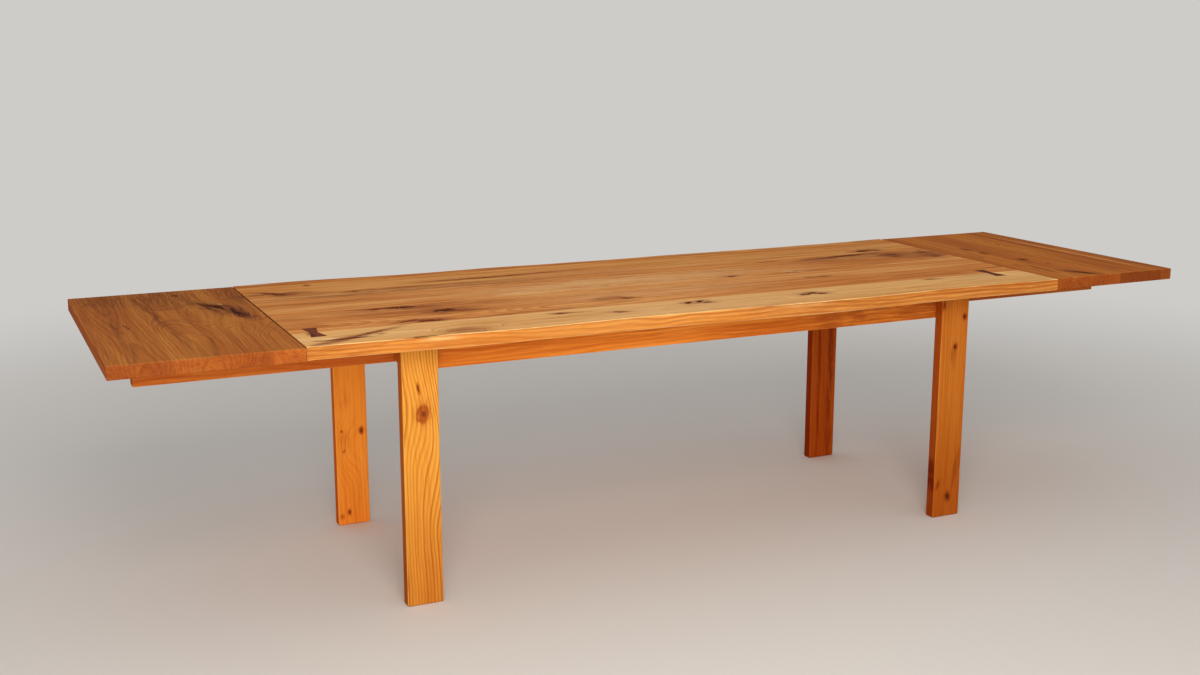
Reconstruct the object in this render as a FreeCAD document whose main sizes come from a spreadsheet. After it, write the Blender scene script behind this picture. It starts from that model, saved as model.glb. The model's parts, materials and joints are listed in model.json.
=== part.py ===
"""Draw leaf table: a solid plank top with two end leaves on pull-out bearers.

Frame: millimetres, +Z up, +X to the right along the table, -Y towards the front.
The origin is on the floor under the middle of the table. Every piece is an object of the
document, bound to the sheet of driving sizes, and is written to parts/ under its Label.
"""
import FreeCAD, Part
import math
import os
import Sketcher

# Driving sizes, in millimetres: alias, value, what it is.
SIZES = (
    ("table_height", 750, "floor to table surface"),
    ("board_thickness", 35, "thickness of the top and of the leaves"),
    ("top_length", 2330, "length of the fixed top"),
    ("top_width", 930, "mean width of the fixed top"),
    ("edge_wander", 14, "how far the natural edges leave the mean line"),
    ("front_plank_width", 177, "mean width of the front plank of the top"),
    ("second_plank_width", 253, "width of the second plank"),
    ("third_plank_width", 250, "width of the third plank"),
    ("board_arris", 3, "rounding of the boards' outer edges"),
    ("leaf_length", 465, "how far a leaf lengthens the table"),
    ("leaf_setback", 4, "a leaf's edge behind the top's mean edge"),
    ("leaf_gap", 3, "joint between a leaf and the top"),
    ("left_outer_plank", 155, "width of the left leaf's outermost plank"),
    ("left_middle_plank", 231, "width of the left leaf's middle plank"),
    ("right_outer_plank", 42, "width of the right leaf's outermost plank"),
    ("right_middle_plank", 170, "width of the right leaf's middle plank"),
    ("key_length", 115, "butterfly key, across the seam"),
    ("key_width", 41, "butterfly key at its two ends"),
    ("key_waist", 20, "butterfly key at its waist"),
    ("key_depth", 12, "how deep a key is let into the top"),
    ("left_key_inset", 58, "left end of the top to the middle of its key"),
    ("right_key_inset", 118, "right end of the top to the middle of its key"),
    ("dowel_diameter", 12, "leaf dowel"),
    ("dowel_length", 60, "leaf dowel, half of it standing out of the leaf"),
    ("dowel_spacing", 320, "between neighbouring dowels"),
    ("dowel_clearance", 0.1, "radial clearance of a dowel in the top"),
    ("dowel_end_clearance", 3, "free depth past the dowel's tip"),
    ("leg_end_setback", 260, "top's end to the leg's outer side"),
    ("leg_edge_setback", 93, "top's mean edge to the leg's outer face"),
    ("leg_width", 100, "leg, along the table"),
    ("leg_depth", 36, "leg, across the table"),
    ("leg_arris", 4.5, "rounding of the legs' edges"),
    ("apron_thickness", 36, "apron, across the table"),
    ("apron_height", 80, "apron and rails, up and down"),
    ("apron_setback", 3, "apron's end behind the leg's outer face"),
    ("apron_nose", 26, "cut across the lower corner of each apron end"),
    ("frame_arris", 2, "rounding of the aprons, rails and bearers"),
    ("rail_thickness", 36, "cross rail, along the table"),
    ("guide_inset", 435, "from an end rail's middle to its guide rail's"),
    ("tenon_thickness", 20, "rail tenon, along the table"),
    ("tenon_length", 12, "rail tenon, into the apron"),
    ("tenon_shoulder", 5, "wood under the tenon"),
    ("mortise_clearance", 1, "free depth past the tenon's end"),
    ("bearer_length", 1440, "bearer"),
    ("bearer_width", 40, "bearer, across the table"),
    ("bearer_height", 60, "bearer, up and down"),
    ("bearer_apron_gap", 3, "outer bearers to the apron"),
    ("lane_step", 52, "from an outer bearer's middle to an inner bearer's"),
    ("left_bearer_reveal", 75, "left leaf's end to its bearers' ends"),
    ("right_bearer_reveal", 121.5, "right leaf's end to its bearers' ends"),
    ("slide_clearance", 0.15, "above and below a bearer"),
    ("lane_side_clearance", 0.5, "beside a bearer in its lane"),
    ("peg_diameter", 16, "stop peg under a bearer"),
    ("peg_drop", 16, "how far a stop peg stands below its bearer"),
    ("peg_seat", 20, "how far a stop peg goes into its bearer"),
    ("left_bearer_play", 30, "left bearers' pegs to the guide rail"),
    ("right_bearer_play", 84, "right bearers' pegs to the guide rail"),
    ("bolt_diameter", 8, "leg bolt"),
    ("bolt_bite", 26, "how far a leg bolt goes into the leg"),
    ("bolt_clearance", 0.5, "radial clearance of a bolt in the apron"),
    ("bolt_edge", 17, "leg's side to the middle of its bolt"),
    ("bolt_rise", 20, "apron's edge to the middle of the nearer bolt"),
    ("bolt_head_width", 13, "leg bolt's hexagon across its flats"),
    ("bolt_head_height", 5.3, "leg bolt's hexagon"),
    ("washer_diameter", 18, "leg bolt's washer"),
    ("washer_thickness", 1.6, "leg bolt's washer"),
    ("counterbore_clearance", 1, "radial clearance of a washer or head in its counterbore"),
    ("bolt_head_cover", 2.1, "bolt head below the apron's inner face"),
    ("screw_diameter", 6, "top screw"),
    ("screw_bite", 25, "how far a top screw goes into the top"),
    ("screw_clearance", 0.5, "radial clearance of a top screw in its rail"),
    ("screw_head_diameter", 12, "top screw's head"),
    ("screw_head_height", 4, "top screw's head"),
    ("screw_sink", 45, "rail's lower edge to the seat of the screw's head"),
    ("screw_spacing", 240, "between the two top screws of a rail"),
)

NATURAL_EDGE_POINTS = 25
SIDES = (("left", -1), ("right", 1))
FACES = (("front", -1), ("back", 1))

doc = FreeCAD.newDocument("draw_leaf_table")
sheet = doc.addObject("Spreadsheet::Sheet", "sizes")
for row, (alias, value, meaning) in enumerate(SIZES, start=1):
    sheet.set(f"A{row}", meaning)
    sheet.set(f"B{row}", str(value))
    sheet.setAlias(f"B{row}", alias)
doc.recompute()

# Places that several pieces share, as expressions on the sheet.
UNDERSIDE = "(sizes.table_height - sizes.board_thickness)"
TOP_END = "(sizes.top_length / 2)"
LEAF_INNER = f"({TOP_END} + sizes.leaf_gap)"
LEAF_OUTER = f"({LEAF_INNER} + sizes.leaf_length)"
TOP_FRONT = "(-sizes.top_width / 2)"
SEAM_1 = f"({TOP_FRONT} + sizes.front_plank_width)"
SEAM_2 = f"({SEAM_1} + sizes.second_plank_width)"
SEAM_3 = f"({SEAM_2} + sizes.third_plank_width)"
LEAF_WIDTH = "(sizes.top_width - 2 * sizes.leaf_setback)"
BOARD_MIDDLE_Z = "(sizes.table_height - sizes.board_thickness / 2)"
LEG_OUTER_X = f"({TOP_END} - sizes.leg_end_setback)"
LEG_X = f"({LEG_OUTER_X} - sizes.leg_width / 2)"
APRON_OUTER = "(sizes.top_width / 2 - sizes.leg_edge_setback - sizes.leg_depth)"
APRON_INNER = f"({APRON_OUTER} - sizes.apron_thickness)"
APRON_BOTTOM = f"({UNDERSIDE} - sizes.apron_height)"
LEG_Y = f"({APRON_OUTER} + sizes.leg_depth / 2)"
GUIDE_X = f"({LEG_X} - sizes.guide_inset)"
BEARER_BOTTOM = f"({UNDERSIDE} - sizes.slide_clearance - sizes.bearer_height)"
LANE_FLOOR = f"({BEARER_BOTTOM} - sizes.slide_clearance)"
OUTER_LANE_Y = f"({APRON_INNER} - sizes.bearer_apron_gap - sizes.bearer_width / 2)"
INNER_LANE_Y = f"({OUTER_LANE_Y} - sizes.lane_step)"
LANE_Y = {"left": OUTER_LANE_Y, "right": INNER_LANE_Y}
LANE_HALF = "(sizes.bearer_width / 2 + sizes.lane_side_clearance)"
LANE_OUTER_EDGE = {"left": APRON_INNER, "right": f"({INNER_LANE_Y} + {LANE_HALF})"}
BEARER_X = {side: f"({LEAF_OUTER} - sizes.{side}_bearer_reveal - sizes.bearer_length / 2)"
            for side, _ in SIDES}
TENON_HEIGHT = f"({LANE_FLOOR} - {APRON_BOTTOM} - sizes.tenon_shoulder)"
TENON_MIDDLE = f"(sizes.tenon_shoulder + {TENON_HEIGHT} / 2)"
PEG_X = {side: f"({GUIDE_X} - sizes.rail_thickness / 2 - sizes.{side}_bearer_play"
               " - sizes.peg_diameter / 2)" for side, _ in SIDES}
BOLT_COUNTERBORE = "(sizes.bolt_head_height + sizes.washer_thickness + sizes.bolt_head_cover)"
BOLT_SEAT_Y = f"({APRON_INNER} + {BOLT_COUNTERBORE})"
BOLT_LENGTH = f"({APRON_OUTER} - {BOLT_SEAT_Y} + sizes.bolt_bite)"
BOLT_OFFSET = "(sizes.leg_width / 2 - sizes.bolt_edge)"
# The two bolts of a leg stand on a diagonal: one low and inboard, one high and outboard.
BOLTS = (("lower", f"({LEG_X} - {BOLT_OFFSET})", f"({APRON_BOTTOM} + sizes.bolt_rise)"),
         ("upper", f"({LEG_X} + {BOLT_OFFSET})", f"({UNDERSIDE} - sizes.bolt_rise)"))
SCREW_SEAT = f"({APRON_BOTTOM} + sizes.screw_sink)"
SCREW_LENGTH = f"({UNDERSIDE} - {SCREW_SEAT} + sizes.screw_bite)"

pieces = []


def size(alias):
    """A driving size as a number."""
    return float(sheet.get(alias))


def piece(obj, label):
    """Name an object as a finished piece of the table."""
    obj.Label = label
    pieces.append(obj)
    return obj


def place(obj, x="0", y="0", z="0"):
    """Bind an object's position to expressions."""
    obj.setExpression("Placement.Base.x", x)
    obj.setExpression("Placement.Base.y", y)
    obj.setExpression("Placement.Base.z", z)


def sketch_on(body, role, name, offset="0"):
    """A sketch on one of the body's own origin planes, moved along the plane's normal."""
    plane = next(item for item in body.Origin.OriginFeatures if item.Role == role)
    sketch = body.newObject("Sketcher::SketchObject", name)
    sketch.AttachmentSupport = [(plane, "")]
    sketch.MapMode = "FlatFace"
    sketch.setExpression("AttachmentOffset.Base.z", offset)
    return sketch


def bind(sketch, kind, *where, to):
    """Add a dimension to a sketch and bind it to an expression."""
    index = sketch.addConstraint(Sketcher.Constraint(kind, *where, 1.0))
    sketch.setExpression(f"Constraints[{index}]", to)


def add_rectangle(sketch, width, height, x="0", y="0"):
    """A rectangle with its middle at x, y."""
    corners = [FreeCAD.Vector(u, v) for u, v in ((-1, -1), (1, -1), (1, 1), (-1, 1))]
    first = sketch.GeometryCount
    for n in range(4):
        sketch.addGeometry(Part.LineSegment(corners[n], corners[(n + 1) % 4]))
    for n in range(4):
        line, following = first + n, first + (n + 1) % 4
        sketch.addConstraint(Sketcher.Constraint("Coincident", line, 2, following, 1))
        direction = "Horizontal" if n % 2 == 0 else "Vertical"
        sketch.addConstraint(Sketcher.Constraint(direction, line))
    bind(sketch, "DistanceX", first, 1, first, 2, to=width)
    bind(sketch, "DistanceY", first + 1, 1, first + 1, 2, to=height)
    bind(sketch, "DistanceX", -1, 1, first, 1, to=f"{x} - ({width}) / 2")
    bind(sketch, "DistanceY", -1, 1, first, 1, to=f"{y} - ({height}) / 2")


def add_circle(sketch, diameter, x, y):
    """A circle with its middle at x, y."""
    circle = sketch.addGeometry(Part.Circle(FreeCAD.Vector(), FreeCAD.Vector(0, 0, 1), 1.0))
    bind(sketch, "Diameter", circle, to=diameter)
    bind(sketch, "DistanceX", -1, 1, circle, 3, to=x)
    bind(sketch, "DistanceY", -1, 1, circle, 3, to=y)


def pad(body, sketch, length, both_ways=False):
    """Raise a sketch along its plane's normal, or half of the length each way."""
    feature = body.newObject("PartDesign::Pad", f"{sketch.Name}_pad")
    feature.Profile = sketch
    feature.SideType = "Symmetric" if both_ways else "One side"
    feature.setExpression("Length", length)
    sketch.Visibility = False
    return feature


def pocket(body, sketch, depth, forwards=False, both_ways=False):
    """Cut a sketch against its plane's normal, along it, or half of the depth each way."""
    doc.recompute()
    before = body.Shape.Volume
    feature = body.newObject("PartDesign::Pocket", f"{sketch.Name}_pocket")
    feature.Profile = sketch
    feature.SideType = "Symmetric" if both_ways else "One side"
    feature.Reversed = forwards
    feature.setExpression("Length", depth)
    doc.recompute()
    if not body.Shape.Volume < before:
        raise RuntimeError(f"{feature.Name} cuts nothing")


def picked_edges(feature, wanted):
    """Names of a feature's edges for which wanted(midpoint, direction, box) holds."""
    names = []
    for number, edge in enumerate(feature.Shape.Edges, start=1):
        start, end = edge.Vertexes[0].Point, edge.Vertexes[-1].Point
        run = (end - start).normalize()
        if wanted((start + end) / 2, run, feature.Shape.BoundBox):
            names.append(f"Edge{number}")
    return names


def round_edges(body, radius, wanted):
    """Round the edges of the body for which wanted(midpoint, direction, box) holds."""
    doc.recompute()
    base = body.Tip
    feature = body.newObject("PartDesign::Fillet", f"{body.Name}_arris")
    feature.Base = (base, picked_edges(base, wanted))
    feature.setExpression("Radius", radius)
    doc.recompute()
    if not body.Shape.Volume < base.Shape.Volume:
        raise RuntimeError(f"{feature.Name} rounds nothing")


def cut_corners(body, width, wanted):
    """Cut the edges off the body for which wanted(midpoint, direction, box) holds."""
    doc.recompute()
    base = body.Tip
    feature = body.newObject("PartDesign::Chamfer", f"{body.Name}_corners")
    feature.Base = (base, picked_edges(base, wanted))
    feature.setExpression("Size", width)
    doc.recompute()
    if not body.Shape.Volume < base.Shape.Volume:
        raise RuntimeError(f"{feature.Name} cuts nothing")


def board(name, length, width, height):
    """A body with one squared board, its middle over the body's origin."""
    body = doc.addObject("PartDesign::Body", name)
    outline = sketch_on(body, "XY_Plane", f"{name}_outline")
    add_rectangle(outline, length, width)
    pad(body, outline, height)
    return body


def cylinder(name, diameter, length, turn=None):
    """A cylinder along +Z, or turned about an axis by an angle in degrees."""
    rod = doc.addObject("Part::Cylinder", name)
    rod.setExpression("Radius", f"({diameter}) / 2")
    rod.setExpression("Height", length)
    if turn:
        rod.Placement.Rotation = FreeCAD.Rotation(*turn)
    return rod


def joined(name, members):
    """Several objects as one."""
    fuse = doc.addObject("Part::MultiFuse", name)
    fuse.Shapes = members
    return fuse


def cut_by(base, tool, name):
    """What is left of the base once the tool is taken away."""
    doc.recompute()
    result = doc.addObject("Part::Cut", name)
    result.Base = base
    result.Tool = tool
    doc.recompute()
    if not result.Shape.Volume < base.Shape.Volume:
        raise RuntimeError(f"{name} takes nothing off {base.Name}")
    return result


# ---------------------------------------------------------------- keys, dowels and top screws

def make_keys():
    """Butterfly keys let into the surface across the seam behind the front plank."""
    half_length = "sizes.key_length / 2"
    keys = []
    for side, sign in SIDES:
        body = doc.addObject("PartDesign::Body", f"key_{side}_body")
        sketch = sketch_on(body, "XY_Plane", f"key_{side}_outline")
        # The six corners, counter-clockwise, in halves of the key's width, waist and length.
        corners = (("width", -1, -1), ("width", 1, -1), ("waist", 1, 0),
                   ("width", 1, 1), ("width", -1, 1), ("waist", -1, 0))
        points = [FreeCAD.Vector(u * (2 if name == "width" else 1), 3 * v)
                  for name, u, v in corners]
        for n in range(6):
            sketch.addGeometry(Part.LineSegment(points[n], points[(n + 1) % 6]))
        for n, (name, u, v) in enumerate(corners):
            sketch.addConstraint(Sketcher.Constraint("Coincident", n, 2, (n + 1) % 6, 1))
            bind(sketch, "DistanceX", -1, 1, n, 1, to=f"{u} * sizes.key_{name} / 2")
            bind(sketch, "DistanceY", -1, 1, n, 1, to=f"{v} * {half_length}")
        pad(body, sketch, "sizes.key_depth")
        place(body, f"{sign} * ({TOP_END} - sizes.{side}_key_inset)", SEAM_1,
              "sizes.table_height - sizes.key_depth")
        keys.append(piece(body, f"key_{side}"))
    return keys


def make_dowels():
    """Three dowels in each leaf's inner edge, half of each standing out towards the top."""
    dowels = {}
    for side, sign in SIDES:
        dowels[side] = []
        for number in (1, 2, 3):
            dowel = cylinder(f"dowel_{side}_{number}_rod", "sizes.dowel_diameter",
                             "sizes.dowel_length", (FreeCAD.Vector(0, 1, 0), 90))
            place(dowel, f"{sign} * {LEAF_INNER} - sizes.dowel_length / 2",
                  f"{number - 2} * sizes.dowel_spacing", BOARD_MIDDLE_Z)
            dowels[side].append(piece(dowel, f"dowel_{side}_{number}"))
    return dowels


def make_dowel_sockets():
    """Blind holes in the ends of the top that take the free halves of the dowels."""
    depth = "(sizes.dowel_length / 2 - sizes.leaf_gap + sizes.dowel_end_clearance)"
    sockets = []
    for side, sign in SIDES:
        for number in (1, 2, 3):
            socket = cylinder(f"socket_{side}_{number}",
                              "sizes.dowel_diameter + 2 * sizes.dowel_clearance", depth,
                              (FreeCAD.Vector(0, 1, 0), 90))
            place(socket, f"{sign} * {TOP_END} - {max(sign, 0)} * {depth}",
                  f"{number - 2} * sizes.dowel_spacing", BOARD_MIDDLE_Z)
            sockets.append(socket)
    return sockets


def make_top_screws():
    """Screws that hold the top, up through the end rails: a round head under a plain shank."""
    screws = []
    for side, sign in SIDES:
        for face, front_back in FACES:
            name = f"top_screw_{side}_{face}"
            shank = cylinder(f"{name}_shank", "sizes.screw_diameter", SCREW_LENGTH)
            head = cylinder(f"{name}_head", "sizes.screw_head_diameter",
                            "sizes.screw_head_height")
            place(head, z="-sizes.screw_head_height")
            screw = joined(f"{name}_whole", [shank, head])
            place(screw, f"{sign} * {LEG_X}", f"{front_back} * sizes.screw_spacing / 2", SCREW_SEAT)
            screws.append(piece(screw, name))
    return screws


# ---------------------------------------------------------------- top and leaves

def natural_edge(front_back, peak, long_wave, short_wave):
    """Points of a natural edge: a slow and a quick wave that add up to the full wander at peak.

    peak, long_wave and short_wave are shares of the top's length. The points run
    counter-clockwise round the top, so the front edge goes right and the back edge left.
    """
    length = size("top_length")
    points = []
    for n in range(NATURAL_EDGE_POINTS):
        along = n / (NATURAL_EDGE_POINTS - 1)
        slow = math.cos(2 * math.pi * (along - peak) / long_wave)
        quick = math.cos(2 * math.pi * (along - peak) / short_wave)
        out = size("top_width") / 2 + size("edge_wander") * (0.6 * slow + 0.4 * quick)
        points.append(FreeCAD.Vector(front_back * (0.5 - along) * length, front_back * out, 0))
    return points


def natural_edged_plank(name, seam, edge_points):
    """A plank between a straight seam and a natural edge, its outer edges rounded."""
    curve = Part.BSplineCurve()
    curve.interpolate(edge_points)
    start, end = edge_points[0], edge_points[-1]
    seam_start = FreeCAD.Vector(start.x, seam, 0)
    seam_end = FreeCAD.Vector(end.x, seam, 0)
    outline = Part.Wire([curve.toShape(), Part.makeLine(end, seam_end),
                         Part.makeLine(seam_end, seam_start), Part.makeLine(seam_start, start)])
    solid = Part.Face(outline).extrude(FreeCAD.Vector(0, 0, size("board_thickness")))
    outer = [edge for edge in solid.Edges if abs(edge.CenterOfMass.y - seam) > 1]
    blank = doc.addObject("Part::Feature", name)
    blank.Shape = solid.makeFillet(size("board_arris"), outer)
    blank.Placement.Base = FreeCAD.Vector(0, 0, size("table_height") - size("board_thickness"))
    return blank


def straight_plank(name, front, back):
    """A plank of the top between two seams, its end edges rounded."""
    body = board(name, "sizes.top_length", f"{back} - {front}", "sizes.board_thickness")
    place(body, y=f"({front} + {back}) / 2", z=UNDERSIDE)
    round_edges(body, "sizes.board_arris", lambda middle, run, box: abs(run.y) > 0.9)
    return body


def make_top(cutters):
    """Four planks glued edge to edge, with sockets for the keys, the dowels and the screws."""
    seam_1 = size("front_plank_width") - size("top_width") / 2
    seam_3 = seam_1 + size("second_plank_width") + size("third_plank_width")
    blanks = (
        natural_edged_plank("plank_1_blank", seam_1, natural_edge(-1, 0.625, 1.25, 0.42)),
        straight_plank("plank_2_blank", SEAM_1, SEAM_2),
        straight_plank("plank_3_blank", SEAM_2, SEAM_3),
        natural_edged_plank("plank_4_blank", seam_3, natural_edge(1, 0.917, 1.15, 0.29)),
    )
    sockets = joined("top_sockets", cutters)
    for number, blank in enumerate(blanks, start=1):
        piece(cut_by(blank, sockets, f"plank_{number}_cut"), f"main_plank_{number}")


def make_leaves(dowels):
    """Each leaf: three planks with their grain across the table, from the outer end inwards."""
    for side, sign in SIDES:
        outer, middle = f"sizes.{side}_outer_plank", f"sizes.{side}_middle_plank"
        inner = f"(sizes.leaf_length - {outer} - {middle})"
        start = LEAF_OUTER
        for number, width in enumerate((outer, middle, inner), start=1):
            name = f"leaf_{side}_plank_{number}"
            body = board(f"{name}_board", width, LEAF_WIDTH, "sizes.board_thickness")
            place(body, f"{sign} * ({start} - {width} / 2)", z=UNDERSIDE)
            start = f"({start} - {width})"
            on_rim = outer_rim(sign if number == 1 else 0, -sign if number == 3 else 0)
            round_edges(body, "sizes.board_arris", on_rim)
            if number == 3:
                cut = cut_by(body, joined(f"{name}_holes", dowels[side]), f"{name}_cut")
                piece(cut, name)
            else:
                piece(body, name)


def outer_rim(*ends):
    """Picks a plank's front and back edges, and its long edges at the given ends of X."""
    def wanted(middle, run, box):
        if abs(run.x) > 0.9:
            return True
        at_end = [end for end in ends if end and abs(middle.x - end * box.XMax) < 0.01]
        return abs(run.y) > 0.9 and bool(at_end)
    return wanted


# ---------------------------------------------------------------- frame

def make_legs(bolts):
    """Flat legs outside the aprons, every edge but the top ones rounded."""
    for face, front_back in FACES:
        for side, sign in SIDES:
            name = f"leg_{face}_{side}"
            body = board(f"{name}_board", "sizes.leg_width", "sizes.leg_depth", UNDERSIDE)
            place(body, f"{sign} * {LEG_X}", f"{front_back} * {LEG_Y}")
            round_edges(body, "sizes.leg_arris", lambda middle, run, box: middle.z < box.ZMax - 1)
            own = joined(f"{name}_holes", bolts[face, side])
            piece(cut_by(body, own, f"{name}_cut"), name)


def make_leg_bolts():
    """Hexagon bolts with a washer, out through the apron into the leg."""
    bolts = {}
    for face, front_back in FACES:
        for side, sign in SIDES:
            bolts[face, side] = []
            for level, x, z in BOLTS:
                name = f"leg_bolt_{face}_{side}_{level}"
                shank = cylinder(f"{name}_shank", "sizes.bolt_diameter", BOLT_LENGTH)
                washer = cylinder(f"{name}_washer", "sizes.washer_diameter",
                                  "sizes.washer_thickness")
                place(washer, z="-sizes.washer_thickness")
                head = doc.addObject("Part::Prism", f"{name}_head")
                head.Polygon = 6
                head.setExpression("Circumradius", "sizes.bolt_head_width / sqrt(3)")
                head.setExpression("Height", "sizes.bolt_head_height")
                place(head, z="-sizes.washer_thickness - sizes.bolt_head_height")
                bolt = joined(f"{name}_whole", [shank, washer, head])
                bolt.Placement.Rotation = FreeCAD.Rotation(FreeCAD.Vector(1, 0, 0),
                                                           -90 * front_back)
                place(bolt, f"{sign} * {x}", f"{front_back} * {BOLT_SEAT_Y}", z)
                bolts[face, side].append(piece(bolt, name))
    return bolts


def make_aprons():
    """Aprons with their lower corners cut off, bored for the bolts, mortised for the rails."""
    length = f"2 * ({LEG_OUTER_X} - sizes.apron_setback)"
    for face, front_back in FACES:
        name = f"apron_{face}"
        body = board(f"{name}_board", length, "sizes.apron_thickness", "sizes.apron_height")
        place(body, y=f"{front_back} * ({APRON_INNER} + {APRON_OUTER}) / 2", z=APRON_BOTTOM)
        cut_corners(body, "sizes.apron_nose",
                    lambda middle, run, box: abs(run.y) > 0.9 and middle.z < box.ZMin + 1)
        round_edges(body, "sizes.frame_arris",
                    lambda middle, run, box: abs(run.x) > 0.9 and middle.z < box.ZMax - 1)
        # An upright sketch's normal is -Y: a positive offset moves it towards the front, and
        # a cut that goes with the normal is a cut towards the front.
        inner_face = f"{front_back} * sizes.apron_thickness / 2"
        towards_front = front_back < 0
        mortises = sketch_on(body, "XZ_Plane", f"{name}_mortises", inner_face)
        for x in (LEG_X, GUIDE_X):
            for _, sign in SIDES:
                add_rectangle(mortises, "sizes.tenon_thickness", TENON_HEIGHT, f"{sign} * {x}",
                              TENON_MIDDLE)
        pocket(body, mortises, "sizes.tenon_length + sizes.mortise_clearance",
               forwards=towards_front)
        holes = sketch_on(body, "XZ_Plane", f"{name}_bolt_holes")
        seats = sketch_on(body, "XZ_Plane", f"{name}_bolt_seats", inner_face)
        for _, x, z in BOLTS:
            for _, sign in SIDES:
                add_circle(holes, "sizes.bolt_diameter + 2 * sizes.bolt_clearance",
                           f"{sign} * {x}", f"{z} - {APRON_BOTTOM}")
                add_circle(seats, "sizes.washer_diameter + 2 * sizes.counterbore_clearance",
                           f"{sign} * {x}", f"{z} - {APRON_BOTTOM}")
        pocket(body, holes, "2 * sizes.apron_thickness", both_ways=True)
        pocket(body, seats, BOLT_COUNTERBORE, forwards=towards_front)
        piece(body, name)


def make_rail(kind, side, sign, x):
    """A cross rail with stub tenons and a lane for each of its side's two bearers."""
    name = f"{kind}_rail_{side}"
    body = board(f"{name}_board", "sizes.rail_thickness", f"2 * {APRON_INNER}",
                 "sizes.apron_height")
    place(body, f"{sign} * {x}", z=APRON_BOTTOM)
    round_edges(body, "sizes.frame_arris",
                lambda middle, run, box: abs(run.y) > 0.9 and middle.z < box.ZMax - 1)
    tenons = sketch_on(body, "XZ_Plane", f"{name}_tenons")
    add_rectangle(tenons, "sizes.tenon_thickness", TENON_HEIGHT, y=TENON_MIDDLE)
    pad(body, tenons, f"2 * ({APRON_INNER} + sizes.tenon_length)", both_ways=True)
    lane_depth = f"({UNDERSIDE} - {LANE_FLOOR})"
    lane_low, lane_high = f"({LANE_Y[side]} - {LANE_HALF})", LANE_OUTER_EDGE[side]
    lanes = sketch_on(body, "YZ_Plane", f"{name}_lanes")
    for _, front_back in FACES:
        add_rectangle(lanes, f"({lane_high} - {lane_low})", lane_depth,
                      f"{front_back} * ({lane_low} + {lane_high}) / 2",
                      f"(sizes.apron_height - {lane_depth} / 2)")
    pocket(body, lanes, "2 * sizes.rail_thickness", both_ways=True)
    return body, name


def bore_for_screws(body, name):
    """Clearance holes and head counterbores for the top screws, from the rail's lower edge."""
    holes = sketch_on(body, "XY_Plane", f"{name}_screw_holes")
    sinks = sketch_on(body, "XY_Plane", f"{name}_screw_sinks")
    for _, front_back in FACES:
        y = f"{front_back} * sizes.screw_spacing / 2"
        add_circle(holes, "sizes.screw_diameter + 2 * sizes.screw_clearance", "0", y)
        add_circle(sinks, "sizes.screw_head_diameter + 2 * sizes.counterbore_clearance", "0", y)
    pocket(body, holes, "sizes.apron_height", forwards=True)
    pocket(body, sinks, "sizes.screw_sink", forwards=True)


def make_rails():
    """An end rail between each pair of legs and a guide rail further in on each side."""
    for side, sign in SIDES:
        end_rail, name = make_rail("end", side, sign, LEG_X)
        bore_for_screws(end_rail, name)
        piece(end_rail, name)
        piece(*make_rail("guide", side, sign, GUIDE_X))


# ---------------------------------------------------------------- bearers

def make_bearers():
    """Pull-out bearers under the leaves, each with a stop peg that meets the guide rail."""
    for side, sign in SIDES:
        for face, front_back in FACES:
            name = f"bearer_{side}_{face}"
            body = board(f"{name}_board", "sizes.bearer_length", "sizes.bearer_width",
                         "sizes.bearer_height")
            place(body, f"{sign} * {BEARER_X[side]}", f"{front_back} * {LANE_Y[side]}",
                  BEARER_BOTTOM)
            round_edges(body, "sizes.frame_arris", lambda middle, run, box: True)
            seat = sketch_on(body, "XY_Plane", f"{name}_peg_seat")
            add_circle(seat, "sizes.peg_diameter", f"{sign} * ({PEG_X[side]} - {BEARER_X[side]})",
                       "0")
            pocket(body, seat, "sizes.peg_seat", forwards=True)
            piece(body, name)
            peg = cylinder(f"stop_peg_{side}_{face}_rod", "sizes.peg_diameter",
                           "sizes.peg_drop + sizes.peg_seat")
            place(peg, f"{sign} * {PEG_X[side]}", f"{front_back} * {LANE_Y[side]}",
                  f"{BEARER_BOTTOM} - sizes.peg_drop")
            piece(peg, f"stop_peg_{side}_{face}")


def check_and_write():
    """Check every object of the document, then write each piece to its own file."""
    doc.recompute()
    for obj in doc.Objects:
        if "Invalid" in obj.State or "Error" in obj.State:
            raise RuntimeError(f"{obj.Name} has failed: {obj.State}")
    os.makedirs("parts", exist_ok=True)
    for obj in pieces:
        shape = obj.Shape
        if shape.isNull() or not shape.isValid() or len(shape.Solids) != 1:
            raise RuntimeError(f"{obj.Label} isn't one valid solid")
        shape.exportStep(f"parts/{obj.Label}.step")
        box = shape.BoundBox
        print(f"{obj.Label:28s} X {box.XMin:8.1f} {box.XMax:8.1f}  Y {box.YMin:7.1f} {box.YMax:7.1f}"
              f"  Z {box.ZMin:6.1f} {box.ZMax:6.1f}  volume {shape.Volume / 1000:9.1f} cm3")
    print(len(pieces), "pieces")


dowels = make_dowels()
keys = make_keys()
top_screws = make_top_screws()
make_top(keys + top_screws + make_dowel_sockets())
make_leaves(dowels)
leg_bolts = make_leg_bolts()
make_legs(leg_bolts)
make_aprons()
make_rails()
make_bearers()
check_and_write()
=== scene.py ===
"""Dresses the draw leaf table: oiled plank top and leaves, flat legs, aprons and bearers.

Everything is in metres in the table's own frame: +X right along the table, +Y to the back,
+Z up, the origin on the floor under the middle.
"""
import json
import math
import random

import bmesh
import bpy
from bpy.props import FloatProperty, FloatVectorProperty, PointerProperty
from mathutils import Matrix, Vector, noise

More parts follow.
